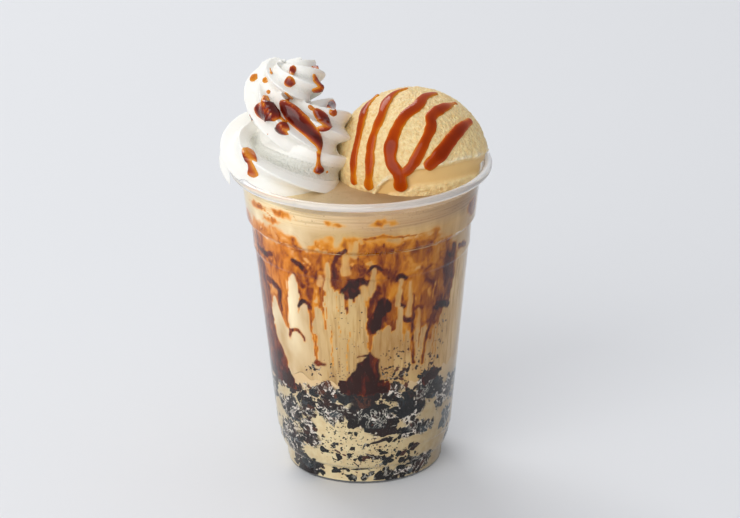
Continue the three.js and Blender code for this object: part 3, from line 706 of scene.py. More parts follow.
# the film's foot, its top and the size of its cells, in mm, and the least cover that is kept
SYRUP_FOOT, SYRUP_TOP, SYRUP_CELL = 1.5, DRINK_LEVEL - 0.5, 0.5
SYRUP_LEAST = 0.012
# below this height, over the jelly, more of it is left out, and what stays is whole and this deep
SYRUP_LOW, LOW_LEAST, LOW_DEPTH = JELLY_LEVEL + 2, 0.5, 0.74


def away(azimuth, height, place):
    """Sideways and upward distance along the wall from a place, in millimetres."""
    return ((azimuth - place[0] + 180) % 360 - 180) * DEGREE, height - place[1]


def inside_stroke(azimuth, height, places, first, last):
    """How far a place is inside a stroke, in millimetres, and its half width there."""
    x, z = away(azimuth, height, places[0])
    spots = [((a - places[0][0]) * DEGREE, h - places[0][1]) for a, h in places]
    best, wide = np.full(len(x), -1e3), np.full(len(x), float(first))
    for i, ((x0, z0), (x1, z1)) in enumerate(zip(spots, spots[1:])):
        dx, dz = x1 - x0, z1 - z0
        t = np.clip(((x - x0) * dx + (z - z0) * dz) / (dx * dx + dz * dz), 0, 1)
        reach = first + (last - first) * (i + t) / (len(spots) - 1)
        inside = reach - np.hypot(x - x0 - t * dx, z - z0 - t * dz)
        wide = np.where(inside > best, reach, wide)
        best = np.maximum(best, inside)
    return best, wide


def apron(azimuth, height, spot):
    """The broad film at the top: clouds, veins and pale gaps in it, with drips along its foot. It
    billows at the top and is drawn out upright lower down."""
    front = (azimuth + 180) % 180 - 180
    column = spot * (1, 1, 0)
    drawn = spot * (1, 1, 0.4) + np.outer(0.6 * np.maximum(spot[:, 2] - 86, 0), (0, 0, 1))
    foot = (along(APRON_FOOT, front) - 8 * smooth((noise(column, 1.5, 31) - 0.2) / 0.6)
            + 1.6 * noise(column, 0.9, 32) + 1.0 * noise(spot, 1.6, 34))
    top = along(APRON_TOP, front) + 1 + 2.4 * layered(spot, 5.0, 33)
    inside = smooth((height - foot) / 1.2) * smooth((top - height) / 4.5)
    bent = drawn + 1.8 * np.stack([noise(drawn, 4, 41 + k) for k in range(3)], axis=1)
    mottle = layered(bent, 4.4, 44)
    vein = smooth(1 - np.abs(noise(bent, 3.6, 51)) / 0.12)
    gap = smooth((layered(bent, 3.2, 54) - 0.4) / 0.2)
    base = along(APRON_DEPTH, front)
    depth = (0.8 * base * (1 + 0.6 * mottle) + 0.16 * vein * smooth(base / 0.2)
             - 0.1 * smooth((height - 88) / 10))
    return np.maximum(depth, 0) * inside * (1 - 0.72 * gap)


def syrup_at(azimuth, height):
    """Depth of the syrup, 0 to about 1, and how far it covers the milk, at places on the wall. What
    is thick keeps its dark tone up to its edge."""
    spot = on_wall(azimuth, height, 38.0)
    azimuth = azimuth + (1.0 * noise(spot, 6, 1) + 0.4 * noise(spot, 1.7, 2)) / DEGREE
    height = height + 1.1 * noise(spot, 6, 3) + 0.5 * noise(spot, 1.7, 4)
    rough, fine = layered(spot, 7, 5), noise(spot * (1, 1, 0.6), 1.2, 8)
    depth = apron(azimuth, height, spot)
    cover = smooth(depth / SYRUP_SHOWS)

    def lay(inside, edge, most):
        nonlocal depth, cover
        thick = most >= SYRUP_THICK
        here = most * smooth((inside + SYRUP_EDGE * thick) / edge)
        depth = np.maximum(depth, here)
        fade = SYRUP_EDGE if thick else edge * SYRUP_SHOWS / most
        cover = np.maximum(cover, smooth(inside / fade))

    for shift, lift in SYRUP_SIDES:
        a, h = azimuth - shift, height - lift
        for a0, h0, wide, high, most in CLOUDS:
            x, z = away(a, h, (a0, h0))
            inside = (1 - np.hypot(x / (wide * DEGREE), z / high)) * min(wide * DEGREE, high)
            inside = inside + min(2.0, 0.4 * high) * rough + 0.7 * fine
            lay(inside, 1.6 if most < 0.5 else 0.9, most)
        for places, first, last, most in STROKES:
            inside, wide = inside_stroke(a, h, places, first, last)
            inside = (inside + 0.25 * np.minimum(wide, 3) * fine
                      + 0.25 * np.maximum(wide - 2.5, 0) * rough)
            lay(inside, np.minimum(0.9, 0.7 * wide), most)
    for shift, lift in SYRUP_SIDES:
        a, h = azimuth - shift, height - lift
        for top, bottom, first, last, clear, arch in FINGERS:
            inside, _ = inside_stroke(a, h, (top, bottom), first, last)
            bare = 1 - clear * smooth((inside + 0.3) / 0.8)
            depth, cover = depth * bare, cover * bare
            if arch:
                x, z = away(a, h, top)
                rim = 1 - np.abs(np.hypot(x, z) - first - 0.8) / 0.95
                over = smooth(rim * 2.4) * smooth((z + 1.0) / 1.5)
                depth, cover = np.maximum(depth, arch * over), np.maximum(cover, over)
    # what has run down onto the jelly is dark with it
    return depth + 0.25 * smooth((50 - height) / 9) * (depth > 0.5), cover


# ---- jelly: azimuth, height, half width in degrees, half height in mm, how often each place is
# covered, smallest and largest piece in mm, tone from 0 (brown) over 0.5 (black) to 1 (blue-grey,
# a painted sheen)
HEAPS = (
    (-150, 38.5, 20, 3.5, 2.2, 0.7, 4.4, 0.3), (-144, 28, 17, 7, 1.1, 0.4, 2.4, 0.6),
    (-148, 17, 18, 10, 1.0, 0.4, 2.4, 0.65), (-128, 32, 9, 6, 1.9, 0.5, 3.6, 0.45),
    (-112, 33, 14, 6.5, 2.1, 0.6, 4.4, 0.5), (-92, 38, 13, 11, 5, 0.6, 8.0, 0.42),
    (-82, 29, 16, 8, 4, 0.7, 8.0, 0.5), (-72, 43, 12, 8, 1.3, 0.4, 3.0, 0.35),
    (-60, 31, 12, 8, 2.1, 0.6, 4.2, 0.45), (-48, 39, 13, 6, 3, 0.7, 5.4, 0.45),
    (-55, 22, 15, 4, 2.2, 0.6, 4.4, 0.5), (-30, 33, 18, 8, 1.0, 0.5, 3.2, 0.7),
    (-22, 21.5, 9, 4.5, 3, 1.2, 5.0, 0.95), (-121, 48, 8, 3, 0.9, 0.4, 2.6, 0.1),
    (-114, 40.5, 14, 4, 1.8, 0.5, 3.4, 0.12), (-102, 50, 14, 6, 0.1, 0.3, 1.2, 0.15),
    (-68, 53, 18, 10, 0.16, 0.25, 1.4, 0.2), (-48, 49, 9, 6, 0.9, 0.5, 2.6, 0.3),
    (-44, 60, 13, 9, 0.08, 0.3, 1.2, 0.3), (-96, 66, 18, 14, 0.025, 0.25, 0.8, 0.35),
    (-128, 21, 8, 8, 1.2, 0.5, 2.8, 0.5), (-92, 19, 27, 7, 0.2, 0.4, 3.4, 0.5),
    (-85, 11.5, 30, 5, 0.5, 0.4, 3.6, 0.5), (-60, 12, 15, 6, 0.98, 0.5, 4.2, 0.5),
    (-62, 4, 15, 3, 1.9, 0.6, 4.0, 0.45), (-100, 4.4, 18, 2.8, 0.98, 0.5, 4.4, 0.5),
    (-42, 6, 12, 5, 1.7, 0.6, 3.6, 0.45), (-139, 4.5, 19, 5, 7, 0.9, 6.0, 0.5),
    (-92, 33, 46, 12, 0.16, 0.25, 0.8, 0.5), (0, 32, 22, 10, 2.4, 0.7, 5.0, 0.55),
    (-88, 15, 34, 10, 0.1, 0.25, 1.0, 0.45), (-78, 38, 26, 12, 0.2, 0.25, 1.2, 0.3),
    (0, 12, 22, 9, 0.6, 0.5, 4.0, 0.5), (88, 36, 70, 5, 0.98, 0.7, 5.0, 0.5),
)
# single pieces that stand out: azimuth, height, width and height in mm, tilt in degrees, tone
BITS = (
    (-118.5, 15, 3.2, 3.0, 20, 0.6), (-109.5, 18, 3.6, 1.3, 5, 0.7),
    (-121.5, 17.6, 1.2, 2.6, -15, 0.7), (-112, 5.6, 4.6, 2.6, -12, 0.75),
    (-104.5, 6.4, 2.6, 1.3, -5, 0.7), (-92, 6.8, 9.0, 0.9, 3, 0.45),
    (-76.5, 4.4, 5.2, 5.0, -8, 0.55), (-79, 19.9, 7.5, 1.5, 12, 0.4),
    (-70, 19.4, 3.0, 1.2, 30, 0.5), (-77, 14.4, 3.6, 2.2, 0, 0.55), (-72, 10.6, 3.2, 2.2, 10, 0.5),
    (-100, 13.6, 2.4, 1.9, -20, 0.55), (-95.4, 9.4, 2.2, 2.6, 15, 0.7),
    (-97, 11.6, 1.7, 1.5, 0, 0.4), (-54.5, 6.4, 4.4, 1.8, 0, 0.7), (-58, 10.4, 1.8, 1.6, 0, 0.5),
    (-102, 37, 4.2, 3.6, 10, 0.8), (-66, 35.5, 4.6, 3.0, -10, 0.85), (-82, 26.5, 6.0, 3.6, 5, 0.8),
    (-90, 31.5, 5.6, 4.6, 0, 0.6), (-74, 32.2, 6.2, 3.0, 10, 0.7), (-96, 42, 7.5, 6.4, 0, 0.5),
    (-84, 33, 6.0, 4.0, 0, 0.65), (-108, 31, 4.4, 3.4, 0, 0.9), (-97, 25.8, 4.6, 2.4, 20, 0.4),
    (-70.5, 23.4, 4.0, 2.6, 0, 0.35), (-26, 22, 7.0, 6.0, 30, 1.0),
    (-64.5, 22.5, 5.4, 2.4, 0, 0.7), (-117.6, 20.7, 2.2, 1.5, 0, 0.3),
    (-48.5, 21, 5.0, 2.2, -15, 0.9),
)
CHIP_KINDS, LUMP_KINDS = 7, 6
# how many of a cube's corners are split off for a chip
CHIP_SPLITS = 9
# widths in mm from which a piece is a torn lump, and one with more faces
LUMP_LEAST, LARGE_LEAST = 2.3, 4.6
# least distance between two pieces, as a share of their widths
PIECES_APART = 0.29
# how ragged a heap's edge is, as a share of its size
HEAP_RAGGED = 0.5
# heaps covered this often stain the milk
CROWDED = 1.0
# a piece's size over its place's, and how deep its middle lies behind the wall, as a share of it
PIECE_FULL, PIECE_BACK = 1.15, 0.16
JELLY_SEED = 11


def crushed_kinds(rng):
    """A few crushed pieces about 1 across, in three families: chips, which are cubes with their
    corners split off, torn lumps, and lumps with more faces for the largest pieces."""
    chips, lumps, large = [], [], []

    def keep(family, piece, shape):
        family.append((shape, [tuple(f.vertices) for f in piece.data.polygons]))
        bpy.data.objects.remove(piece)

    def split():
        for _ in range(CHIP_SPLITS):
            way = Vector(rng.normal(size=3)).normalized()
            bpy.ops.mesh.select_all(action="SELECT")
            bpy.ops.mesh.bisect(plane_co=way * rng.uniform(0.3, 0.46), plane_no=way,
                                clear_outer=True, use_fill=True)
        bpy.ops.mesh.select_all(action="SELECT")
        bpy.ops.mesh.remove_doubles(threshold=0.1)
        bpy.ops.mesh.quads_convert_to_tris()

    for seed in range(LUMP_KINDS):
        for detail, family in ((2, lumps), (3, large)):
            choose()
            bpy.ops.mesh.primitive_ico_sphere_add(subdivisions=detail, radius=0.5)
            lump = bpy.context.object
            p = corners(lump) * MM
            torn = 1 + 0.7 * noise(p, 0.4, 80 + seed) + 0.45 * noise(p, 0.18, 90 + seed)
            keep(family, lump, p * torn[:, None])
    for _ in range(CHIP_KINDS):
        choose()
        bpy.ops.mesh.primitive_cube_add(size=1)
        chip = bpy.context.object
        edit(chip, split)
        keep(chips, chip, corners(chip) * MM)
    return chips, lumps, large


def heap_edge(azimuth, height):
    """How far in a heap's ragged edge is at a place, as a share of the heap's size."""
    return HEAP_RAGGED * layered(on_wall(azimuth, height, 36.0), 4.5, 61)


def spread_pieces(rng):
    """Each crushed piece: azimuth and height of its place, its width, height, tilt and tone."""
    pieces = []
    for turn, lift in JELLY_SIDES:
        for a0, h0, wide, high, cover, small, large, tone in HEAPS:
            # as many pieces as cover the heap, from its area and the mean size of a piece
            area = math.pi * wide * DEGREE * 0.9 * high
            more = large - small
            each = small ** 2 + 2 * small * more / 3.4 + more ** 2 / 5.8
            count = int(cover * area / (0.6 * each))
            out, way = np.sqrt(rng.random(count)), rng.random(count) * TURN
            azimuth = a0 + turn + wide * out * np.cos(way)
            height = h0 + lift + high * out * np.sin(way)
            across = small + more * rng.random(count) ** 2.4
            within = out - heap_edge(azimuth, height) < 0.85
            rest = zip(azimuth, height, across, across * rng.uniform(0.55, 1.0, count),
                       rng.uniform(-50, 50, count), tone + rng.normal(size=count) * 0.2)
            pieces += [piece for piece, stays in zip(rest, within) if stays]
    # the largest are laid first, and a piece too near one that lies there is left out
    pieces.sort(key=lambda piece: -piece[2])
    kept = [(a + turn, h + lift, *rest) for turn, lift in JELLY_SIDES for a, h, *rest in BITS]
    spots = np.empty((len(kept) + len(pieces), 3))
    spots[:len(kept)] = [(a * DEGREE, h, w) for a, h, w, *_ in kept]
    for piece in pieces:
        n = len(kept)
        x, z = spots[:n, 0] - piece[0] * DEGREE, spots[:n, 1] - piece[1]
        if piece[1] > 1 and (np.hypot(x, z) > PIECES_APART * (spots[:n, 2] + piece[2])).all():
            spots[n] = piece[0] * DEGREE, piece[1], piece[2]
            kept.append(piece)
    return kept


def bed_stain(azimuth, height):
    """How far the milk is stained by the jelly round it, from 0 to 1."""
    edge = heap_edge(azimuth, height)
    most = np.zeros(len(azimuth))
    for turn, _ in JELLY_SIDES:
        for a0, h0, wide, high, cover, *_ in HEAPS:
            if cover >= CROWDED:
                x, z = away(azimuth, height, (a0 + turn, h0))
                out = np.hypot(x / (wide * DEGREE), z / high) - edge
                most = np.maximum(most, smooth((0.95 - out) / 0.4))
    return most


def jelly_pieces(rng):
    """All the crushed pieces in one mesh, each pressed against the wall, with its tone."""
    chips, lumps, large = crushed_kinds(rng)
    places, faces, tones, start = [], [], [], 0
    for azimuth, height, wide, high, tilt, tone in spread_pieces(rng):
        family = large if wide > LARGE_LEAST else lumps if wide > LUMP_LEAST else chips
        shape, sides = family[rng.integers(len(family))]
        spin = np.array(Matrix.Rotation(rng.uniform(0, TURN), 3, Vector(rng.normal(size=3))))
        local = (shape @ spin.T) * (wide, 0.5 * (wide + high), high) * PIECE_FULL
        c, s = math.cos(math.radians(tilt)), math.sin(math.radians(tilt))
        side, up = c * local[:, 0] - s * local[:, 2], s * local[:, 0] + c * local[:, 2]
        middle = wall_radius(max(height, 1.5)) - WALL - PIECE_BACK * (wide + high) * 0.5
        a = math.radians(azimuth)
        out = np.array((math.cos(a), math.sin(a), 0))
        along_wall = np.array((-math.sin(a), math.cos(a), 0))
        p = out * (middle + local[:, 1:2]) + along_wall * side[:, None]
        p[:, 2] += height + up
        p[:, 2] = np.maximum(p[:, 2], WALL + 0.05)
        radius = np.hypot(p[:, 0], p[:, 1])
        limit = wall_radius(p[:, 2]) - WALL + PIECES_IN
        p[:, :2] *= np.minimum(1, limit / radius)[:, None]
        places.append(p)
        faces += [tuple(start + k for k in f) for f in sides]
        tones += [tone] * len(p)
        start += len(p)
    piece = mesh_piece("jelly_pieces", np.concatenate(places), faces)
    attribute(piece, "tone", np.clip(tones, 0, 1))
    return piece


# ---- cup ----
def rounded(profile, radius, steps=3):
    """The same profile with each of its corners turned into a short curve."""
    profile = [np.array(p, float) for p in profile]
    out = [profile[0]]
    for before, at, after in zip(profile, profile[1:], profile[2:]):
        to, fro = before - at, after - at
        first = at + to * min(0.45, radius / np.linalg.norm(to))
        last = at + fro * min(0.45, radius / np.linalg.norm(fro))
        for t in np.linspace(0, 1, steps + 1):
            out.append((1 - t) ** 2 * first + 2 * t * (1 - t) * at + t ** 2 * last)
    return out + [profile[-1]]


def cup_profile():
    """(radius, height) from the middle of the underside, up the outside, round the rim and back
    down the inside to the middle of the floor."""
    outside = [(r, z) for z, r in WALL_LINE]
    inside = [(r - WALL, z) for z, r in WALL_LINE if z > WALL][::-1]
    roll = [(RIM_RADIUS - RIM_ROLL + RIM_ROLL * math.cos(a),
             CUP_HEIGHT - RIM_ROLL + RIM_ROLL * math.sin(a))
            for a in np.linspace(ROLL_START, ROLL_START + ROLL_SWEEP, 19)]
    foot = [(0, 0), (FOOT_RADIUS - FOOT_CORNER, 0)]
    floor = [(FOOT_RADIUS - WALL, WALL + FLOOR_CORNER), (FOOT_RADIUS - WALL - FLOOR_CORNER, WALL),
             (0, WALL)]
    return (rounded(foot + outside + roll[:1], WALL_CORNER) + roll[1:-1]
            + rounded(roll[-1:] + inside + floor, WALL_CORNER))


# ---- settings a user would change ----
CUP_SLOT, JELLY_SLOT, DRINK_SLOT = "clear_cup", "crushed_jelly", "milk_coffee"
SCOOP_SLOT, CREAM_SLOT = "vanilla_ice_cream", "whipped_cream"


class CupSettings(bpy.types.PropertyGroup):
    segments: bpy.props.IntProperty(
        name="Segments", description="Faces round the cup's wall", default=360, min=48)
    flute_depth: length_property("Flute depth", FLUTE_DEPTH, "Depth of the grooves round the foot")


class DrinkSettings(bpy.types.PropertyGroup):
    level: bpy.props.FloatProperty(
        name="Level", description="Height of the drink's surface", unit="LENGTH",
        default=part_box("milk_coffee")[1].z, precision=4)
    pale: colour_property("Milky", "#f7ebca", "Colour where there is most milk")
    tan: colour_property("Coffee", "#c6a878", "Colour where there is most coffee")
    froth: colour_property("Froth", "#c8aa82", "Colour of the froth at the top")
    bed: colour_property("Bed", "#dccfa8", "Colour of the milk between the jelly")


class SyrupSettings(bpy.types.PropertyGroup):
    film_thin: colour_property("Thin", "#d08812", "Colour of the film where it is thin")
    film: colour_property("Film", "#7a3408", "Colour of the film where it is deep")
    film_thick: colour_property("Deepest", "#30120e", "Colour of the film where it is deepest")
    thickness: length_property("Thickness", 0.5, "Thickness of the film on the wall")


class JellySettings(bpy.types.PropertyGroup):
    jelly: colour_property("Jelly", "#100c0c", "Colour of most of the pieces")
    # the blue-grey of the pieces that catch the light is a painted sheen
    sheen: colour_property("Sheen", "#4a5256", "Colour of the pieces that catch the light")


class IceCreamSettings(bpy.types.PropertyGroup):
    # these two colours are painted light on the grain that stands out and painted shade in its
    # hollows
    light: colour_property("Ice cream", "#fae0a6", "Colour of the grain that stands out")
    dark: colour_property("Hollows", "#ecc684", "Colour in the hollows of the grain")
    grain: length_property("Grain", 0.38, "Height of the torn grain")


class CreamSettings(bpy.types.PropertyGroup):
    white: colour_property("Cream", "#f8f6ef", "Colour of the ridges")
    # the grooves' colour is painted shade down in the wide grooves
    groove: colour_property("Grooves", "#e4e3d8", "Colour down in the wide grooves")
    voxel: length_property("Fineness", 0.42, "Size of the smallest detail of the swirl")


class CaramelSettings(bpy.types.PropertyGroup):
    edge: colour_property("Edge", "#d07a18", "Colour at the sauce's thin edge")
    body: colour_property("Body", "#b24200", "Colour of most of the sauce")
    deep: colour_property("Deep", "#541208", "Colour where the sauce is deep")


class StageSettings(bpy.types.PropertyGroup):
    floor: colour_property("Floor", "#e5e6e8", "Colour of the floor")
    key: bpy.props.FloatProperty(
        name="Main light", description="Power of the light behind", default=18.0, unit="POWER")
    fill: bpy.props.FloatProperty(
        name="Front light", description="Power of the light in front over that behind", default=2.3)
    sky: bpy.props.FloatProperty(
        name="Room", description="Strength of the light all round", default=0.66)


# ---- cup, drink, jelly and syrup ----
class COFFEE_JELLY_OT_cup(bpy.types.Operator):
    """Clear cup: a thin wall turned from its profile, with a rolled rim and a grooved foot"""
    bl_idname = "coffee_jelly.cup"
    bl_label = "Cup"

    def execute(self, context):
        settings = context.scene.coffee_cup
        profile = cup_profile()
        places = [(r, 0, z) for r, z in profile]
        cup = mesh_piece("clear_cup", places, [])
        cup.data.edges.add(len(places) - 1)
        ends = [k for i in range(len(places) - 1) for k in (i, i + 1)]
        cup.data.edges.foreach_set("vertices", ends)

        def turn():
            bpy.ops.mesh.spin(steps=settings.segments, angle=TURN, center=(0, 0, 0), axis=(0, 0, 1))
            bpy.ops.mesh.select_all(action="SELECT")
            close_up()

        edit(cup, turn)
        p = corners(cup)
        radius = np.hypot(p[:, 0], p[:, 1])
        around = np.arctan2(p[:, 1], p[:, 0])
        outer = (p[:, 2] < FOOT_HEIGHT) & (radius > FOOT_RADIUS - WALL / 2)
        step = TURN / FLUTES
        off = (np.mod(around - FLUTE_START + step / 2, step) - step / 2) * FOOT_RADIUS
        dent = settings.flute_depth / MM * np.clip(1 - (2 * off / FLUTE_WIDTH) ** 2, 0, 1) * outer
        p[:, :2] *= (1 - dent / np.maximum(radius, 1))[:, None]
        set_corners(cup, p)
        shade(cup, 35)
        finish_piece(cup, clear_plastic("Clear PET, thermoformed", {
            "Transmission Weight": 1.0, "IOR": 1.42, "Roughness": 0.02,
            "Specular IOR Level": 0.3}, (0.97, 0.975, 0.98, 1)), CUP_SLOT, "cup")
        # where the rim is rolled, it is thicker, and milky with the light that it gathers
        cup.data.materials.append(clear_plastic("Clear PET, rolled rim", {
            "Transmission Weight": 0.57, "IOR": 1.5, "Roughness": 0.05,
            "Specular IOR Level": 1.0}, (0.9, 0.9, 0.92, 1)))
        thick = 2 * RIM_ROLL + 0.4
        rolled = ((p[:, 2] > CUP_HEIGHT - thick)
                  & (np.hypot(p[:, 0], p[:, 1]) > RIM_RADIUS - thick))
        for face in cup.data.polygons:
            face.material_index = int(all(rolled[i] for i in face.vertices))
        return {"FINISHED"}


def level_at_wall(azimuth):
    """Height at which the jelly's broken top meets the wall."""
    edge = wall_radius(JELLY_LEVEL) - WALL
    a = np.radians(azimuth)
    return jelly_top(edge * np.cos(a), edge * np.sin(a))


class COFFEE_JELLY_OT_drink(bpy.types.Operator):
    """Milk coffee from the jelly up to its level"""
    bl_idname = "coffee_jelly.drink"
    bl_label = "Milk coffee"

    def execute(self, context):
        settings = context.scene.coffee_drink
        level = settings.level / MM

        # a tenth of the rows for the underside, six for the wall and three for the top
        def place(u, v):
            azimuth = u * 360 - 180
            top, under = v >= 0.7, v < 0.1
            share = np.clip((v - 0.1) / 0.6, 0, 1)
            low = level_at_wall(azimuth)
            height = np.where(top, level, low + (level - low) * share)
            inward = np.where(top, (1 - v) / 0.3, np.where(under, v / 0.1, 1))
            radius = (wall_radius(height) - WALL + MILK_IN) * inward
            p = on_wall(azimuth, height, radius)
            p[:, 2] = np.where(under, jelly_top(p[:, 0], p[:, 1]) + 0.1, p[:, 2])
            # the surface climbs a little where it wets the wall
            p[:, 2] += np.where(top, 0.5 * np.exp(-(wall_radius(level) - WALL - radius) / 0.9), 0)
            p[:, 2] += np.where(top & (inward < 0.99), 0.12 * noise(p, 3.0, 9), 0)
            return p

        drink = sheet("milk_coffee_body", 240, 130, place)
        shade(drink, 60)
        finish_piece(drink, milk_coffee(settings), DRINK_SLOT, "milk_coffee")
        return {"FINISHED"}


class COFFEE_JELLY_OT_jelly(bpy.types.Operator):
    """Crushed jelly: the milk that it lies in, and the pieces pressed against the wall"""
    bl_idname = "coffee_jelly.jelly"
    bl_label = "Coffee jelly"

    def execute(self, context):
        drink, settings = context.scene.coffee_drink, context.scene.coffee_bits

        # 0.15 of the rows for the underside, 0.6 for the wall and 0.25 for the top
        def place(u, v):
            azimuth = u * 360 - 180
            side = np.clip((v - 0.15) / 0.6, 0, 1)
            top = level_at_wall(azimuth) + 0.4
            height = WALL + FLOOR_GAP + (top - WALL - FLOOR_GAP) * side
            inward = np.where(v < 0.15, v / 0.15, np.where(v > 0.75, (1 - v) / 0.25, 1))
            radius = (wall_radius(height) - WALL + BED_IN) * inward
            p = on_wall(azimuth, height, radius)
            p[:, 2] = np.where(v > 0.75, jelly_top(p[:, 0], p[:, 1]) + 0.2, p[:, 2])
            return p

        bed = sheet("jelly_bed", 360, 110, place)
        p = corners(bed)
        attribute(bed, "stain", bed_stain(azimuth_of(p), p[:, 2]))
        shade(bed, 60)
        finish_piece(bed, bed_milk(drink), JELLY_SLOT, "coffee_jelly")
        pieces = jelly_pieces(np.random.default_rng(JELLY_SEED))
        finish_piece(pieces, coffee_gel(settings), JELLY_SLOT, "coffee_jelly")
        return {"FINISHED"}


class COFFEE_JELLY_OT_syrup(bpy.types.Operator):
    """Film of caramel syrup down the inside of the wall"""
    bl_idname = "coffee_jelly.syrup"
    bl_label = "Syrup on the wall"

    def execute(self, context):
        settings, drink = context.scene.coffee_syrup, context.scene.coffee_drink
        columns = round(360 * DEGREE / SYRUP_CELL)
        rows = round((SYRUP_TOP - SYRUP_FOOT) / SYRUP_CELL)

        def place(u, v):
            height = SYRUP_FOOT + (SYRUP_TOP - SYRUP_FOOT) * v
            return on_wall(u * 360 - 180, height, wall_radius(height) - WALL + SYRUP_IN)

        film = sheet("wall_syrup", columns, rows, place)
        p = corners(film)
        depth, cover = syrup_at(azimuth_of(p), p[:, 2])
        # over the jelly the film stops where it no longer hides what is behind it
        low = p[:, 2] < SYRUP_LOW
        bare = set(np.flatnonzero(cover < np.where(low, LOW_LEAST, SYRUP_LEAST)).tolist())
        attribute(film, "syrup", np.where(low, np.maximum(depth, LOW_DEPTH), depth))
        attribute(film, "cover", np.where(low, 1, cover))
        edit(film, lambda: bpy.ops.mesh.select_mode(type="FACE"))
        for face in film.data.polygons:
            face.select = bare.issuperset(face.vertices)
        bpy.ops.object.mode_set(mode="EDIT")
        bpy.ops.mesh.delete(type="FACE")
        bpy.ops.mesh.select_mode(type="VERT")
        bpy.ops.object.mode_set(mode="OBJECT")
        modify(film, "SOLIDIFY", thickness=settings.thickness, offset=-1)
        shade(film, 60)
        finish_piece(film, wall_syrup(settings, drink), DRINK_SLOT)
        return {"FINISHED"}


# ---- sauce that lies on something ----
def dense(places, step):
    """Points about one step apart along a smooth curve through the places."""
    p = np.asarray(places, float)
    ends = np.vstack((2 * p[0] - p[1], p, 2 * p[-1] - p[-2]))
    out = []
    for a, b, c, d in zip(ends, ends[1:], ends[2:], ends[3:]):
        count = max(2, int(np.linalg.norm(c - b) / step))
        t = (np.arange(count) / count)[:, None]
        out.append(0.5 * (2 * b + (c - a) * t + (2 * a - 5 * b + 4 * c - d) * t ** 2
                          + (3 * b - 3 * c + d - a) * t ** 3))
    return np.vstack((*out, p[-1:]))


# corners round a run of sauce, and how far the run takes to reach its full width, in mm
SECTION = 14
RUN_TAPER = 14.0
# fineness of the sauce, distance between the places along a run and its reach into the food, in mm
SAUCE_VOXEL, SAUCE_STEP, SCOOP_SINK, CREAM_SINK = 0.26, 0.7, 1.1, 1.2
# how thick the sauce lies where it is at its darkest, in mm
SCOOP_FULL, CREAM_FULL = 1.7, 1.9


def sauce_run(places, outs, halves, thick, sink):
    """A closed run of sauce through places on a surface: its half width at each, how thick it lies
    where it is widest, and how far it goes under the surface."""
    p, n, half = np.asarray(places), np.asarray(outs), np.asarray(halves)
    way = np.gradient(p, axis=0)
    way /= np.linalg.norm(way, axis=1)[:, None] + 1e-9
    side = np.cross(way, n)
    side /= np.linalg.norm(side, axis=1)[:, None] + 1e-9
    turn = np.arange(SECTION) / SECTION * TURN
    across, up = np.cos(turn), np.sin(turn)
    rise = np.minimum(half * 0.8, thick * np.sqrt(half / half.max()))[:, None]
    lift = np.where(up > 0, rise * up, np.minimum(half[:, None], sink) * up)
    ring = (p[:, None] + side[:, None] * (half[:, None] * across)[..., None]
            + n[:, None] * lift[..., None])
    last = (len(p) - 1) * SECTION
    faces = [(i + j, i + (j + 1) % SECTION, i + SECTION + (j + 1) % SECTION, i + SECTION + j)
             for i in range(0, last, SECTION) for j in range(SECTION)]
    faces += [tuple(range(SECTION))[::-1], tuple(last + j for j in range(SECTION))]
    return mesh_piece("run", ring.reshape(-1, 3), faces)


def length_along(places):
    """How far along a run each of its places is."""
    steps = np.linalg.norm(np.diff(np.asarray(places), axis=0), axis=1)
    return np.concatenate(((0,), np.cumsum(steps)))


def ends_closed(places, half):
    """The same half widths, rounded to nothing at both ends."""
    far = length_along(places)
    for reach, tip in ((far, half[0]), (far[-1] - far, half[-1])):
        half = half * np.sqrt(np.clip(1 - (1 - np.clip(reach / tip, 0, 1)) ** 2, 0.01, 1))
    return half


def widths(places, half, drop, uneven, seed):
    """Half widths along a run: rounded at its start, uneven, swelling to a drop at its end."""
    p, far = np.asarray(places), length_along(places)
    left = far[-1] - far
    body = half * (1 + uneven * noise(p, 4.0, seed) + 0.5 * uneven * noise(p, 1.7, seed + 1))
    body *= 0.55 + 0.45 * smooth(far / RUN_TAPER)
    swell = drop * np.sqrt(np.clip(1 - ((left - drop) / (1.6 * drop)) ** 2, 0, 1)) if drop else 0
    return ends_closed(p, np.maximum(body, swell))


def wet(name, runs, above, full):
    """Runs of sauce melted into one wet body, with how thick it lies at each place: above(place)
    over what it lies on, as a share of full."""
    sauce = join(name, runs)
    edit(sauce, lambda: bpy.ops.mesh.normals_make_consistent(inside=False))
    modify(sauce, "REMESH", mode="VOXEL", voxel_size=SAUCE_VOXEL * MM)
    modify(sauce, "SMOOTH", factor=0.5, iterations=4)
    thick = [above(place) / full for place in corners(sauce)]
    attribute(sauce, "thick", np.clip(thick, 0, 1))
    shade(sauce)
    return sauce


# ---- ice cream ----
# elevation in degrees from which the ball is made, and the share of the rows for its underside
SCOOP_LOW, SCOOP_UNDER = -16.0, 0.04


def on_scoop(azimuth, elevation, out=0.0):
    """A place on the ball of ice cream, or a distance out from it in millimetres."""
    a, e = np.radians(azimuth), np.radians(elevation)
    way = np.stack((np.cos(e) * np.cos(a), np.cos(e) * np.sin(a), np.sin(e)), axis=-1)
    return SCOOP_AT + (SCOOP_REACH + np.asarray(out)[..., None]) * way


def scoop_band(azimuth, elevation):
    """How far under the lip a place on the scoop is, in degrees, and 1 on the smooth band."""
    under = along(LIP_LINE, azimuth) - elevation
    inside = (azimuth > LIP_LINE[0][0]) & (azimuth < LIP_LINE[-1][0])
    band = smooth(under / 3) * (1 - smooth((under - BAND_DROP) / 3)) * inside
    return np.where(inside, under, -30.0), band


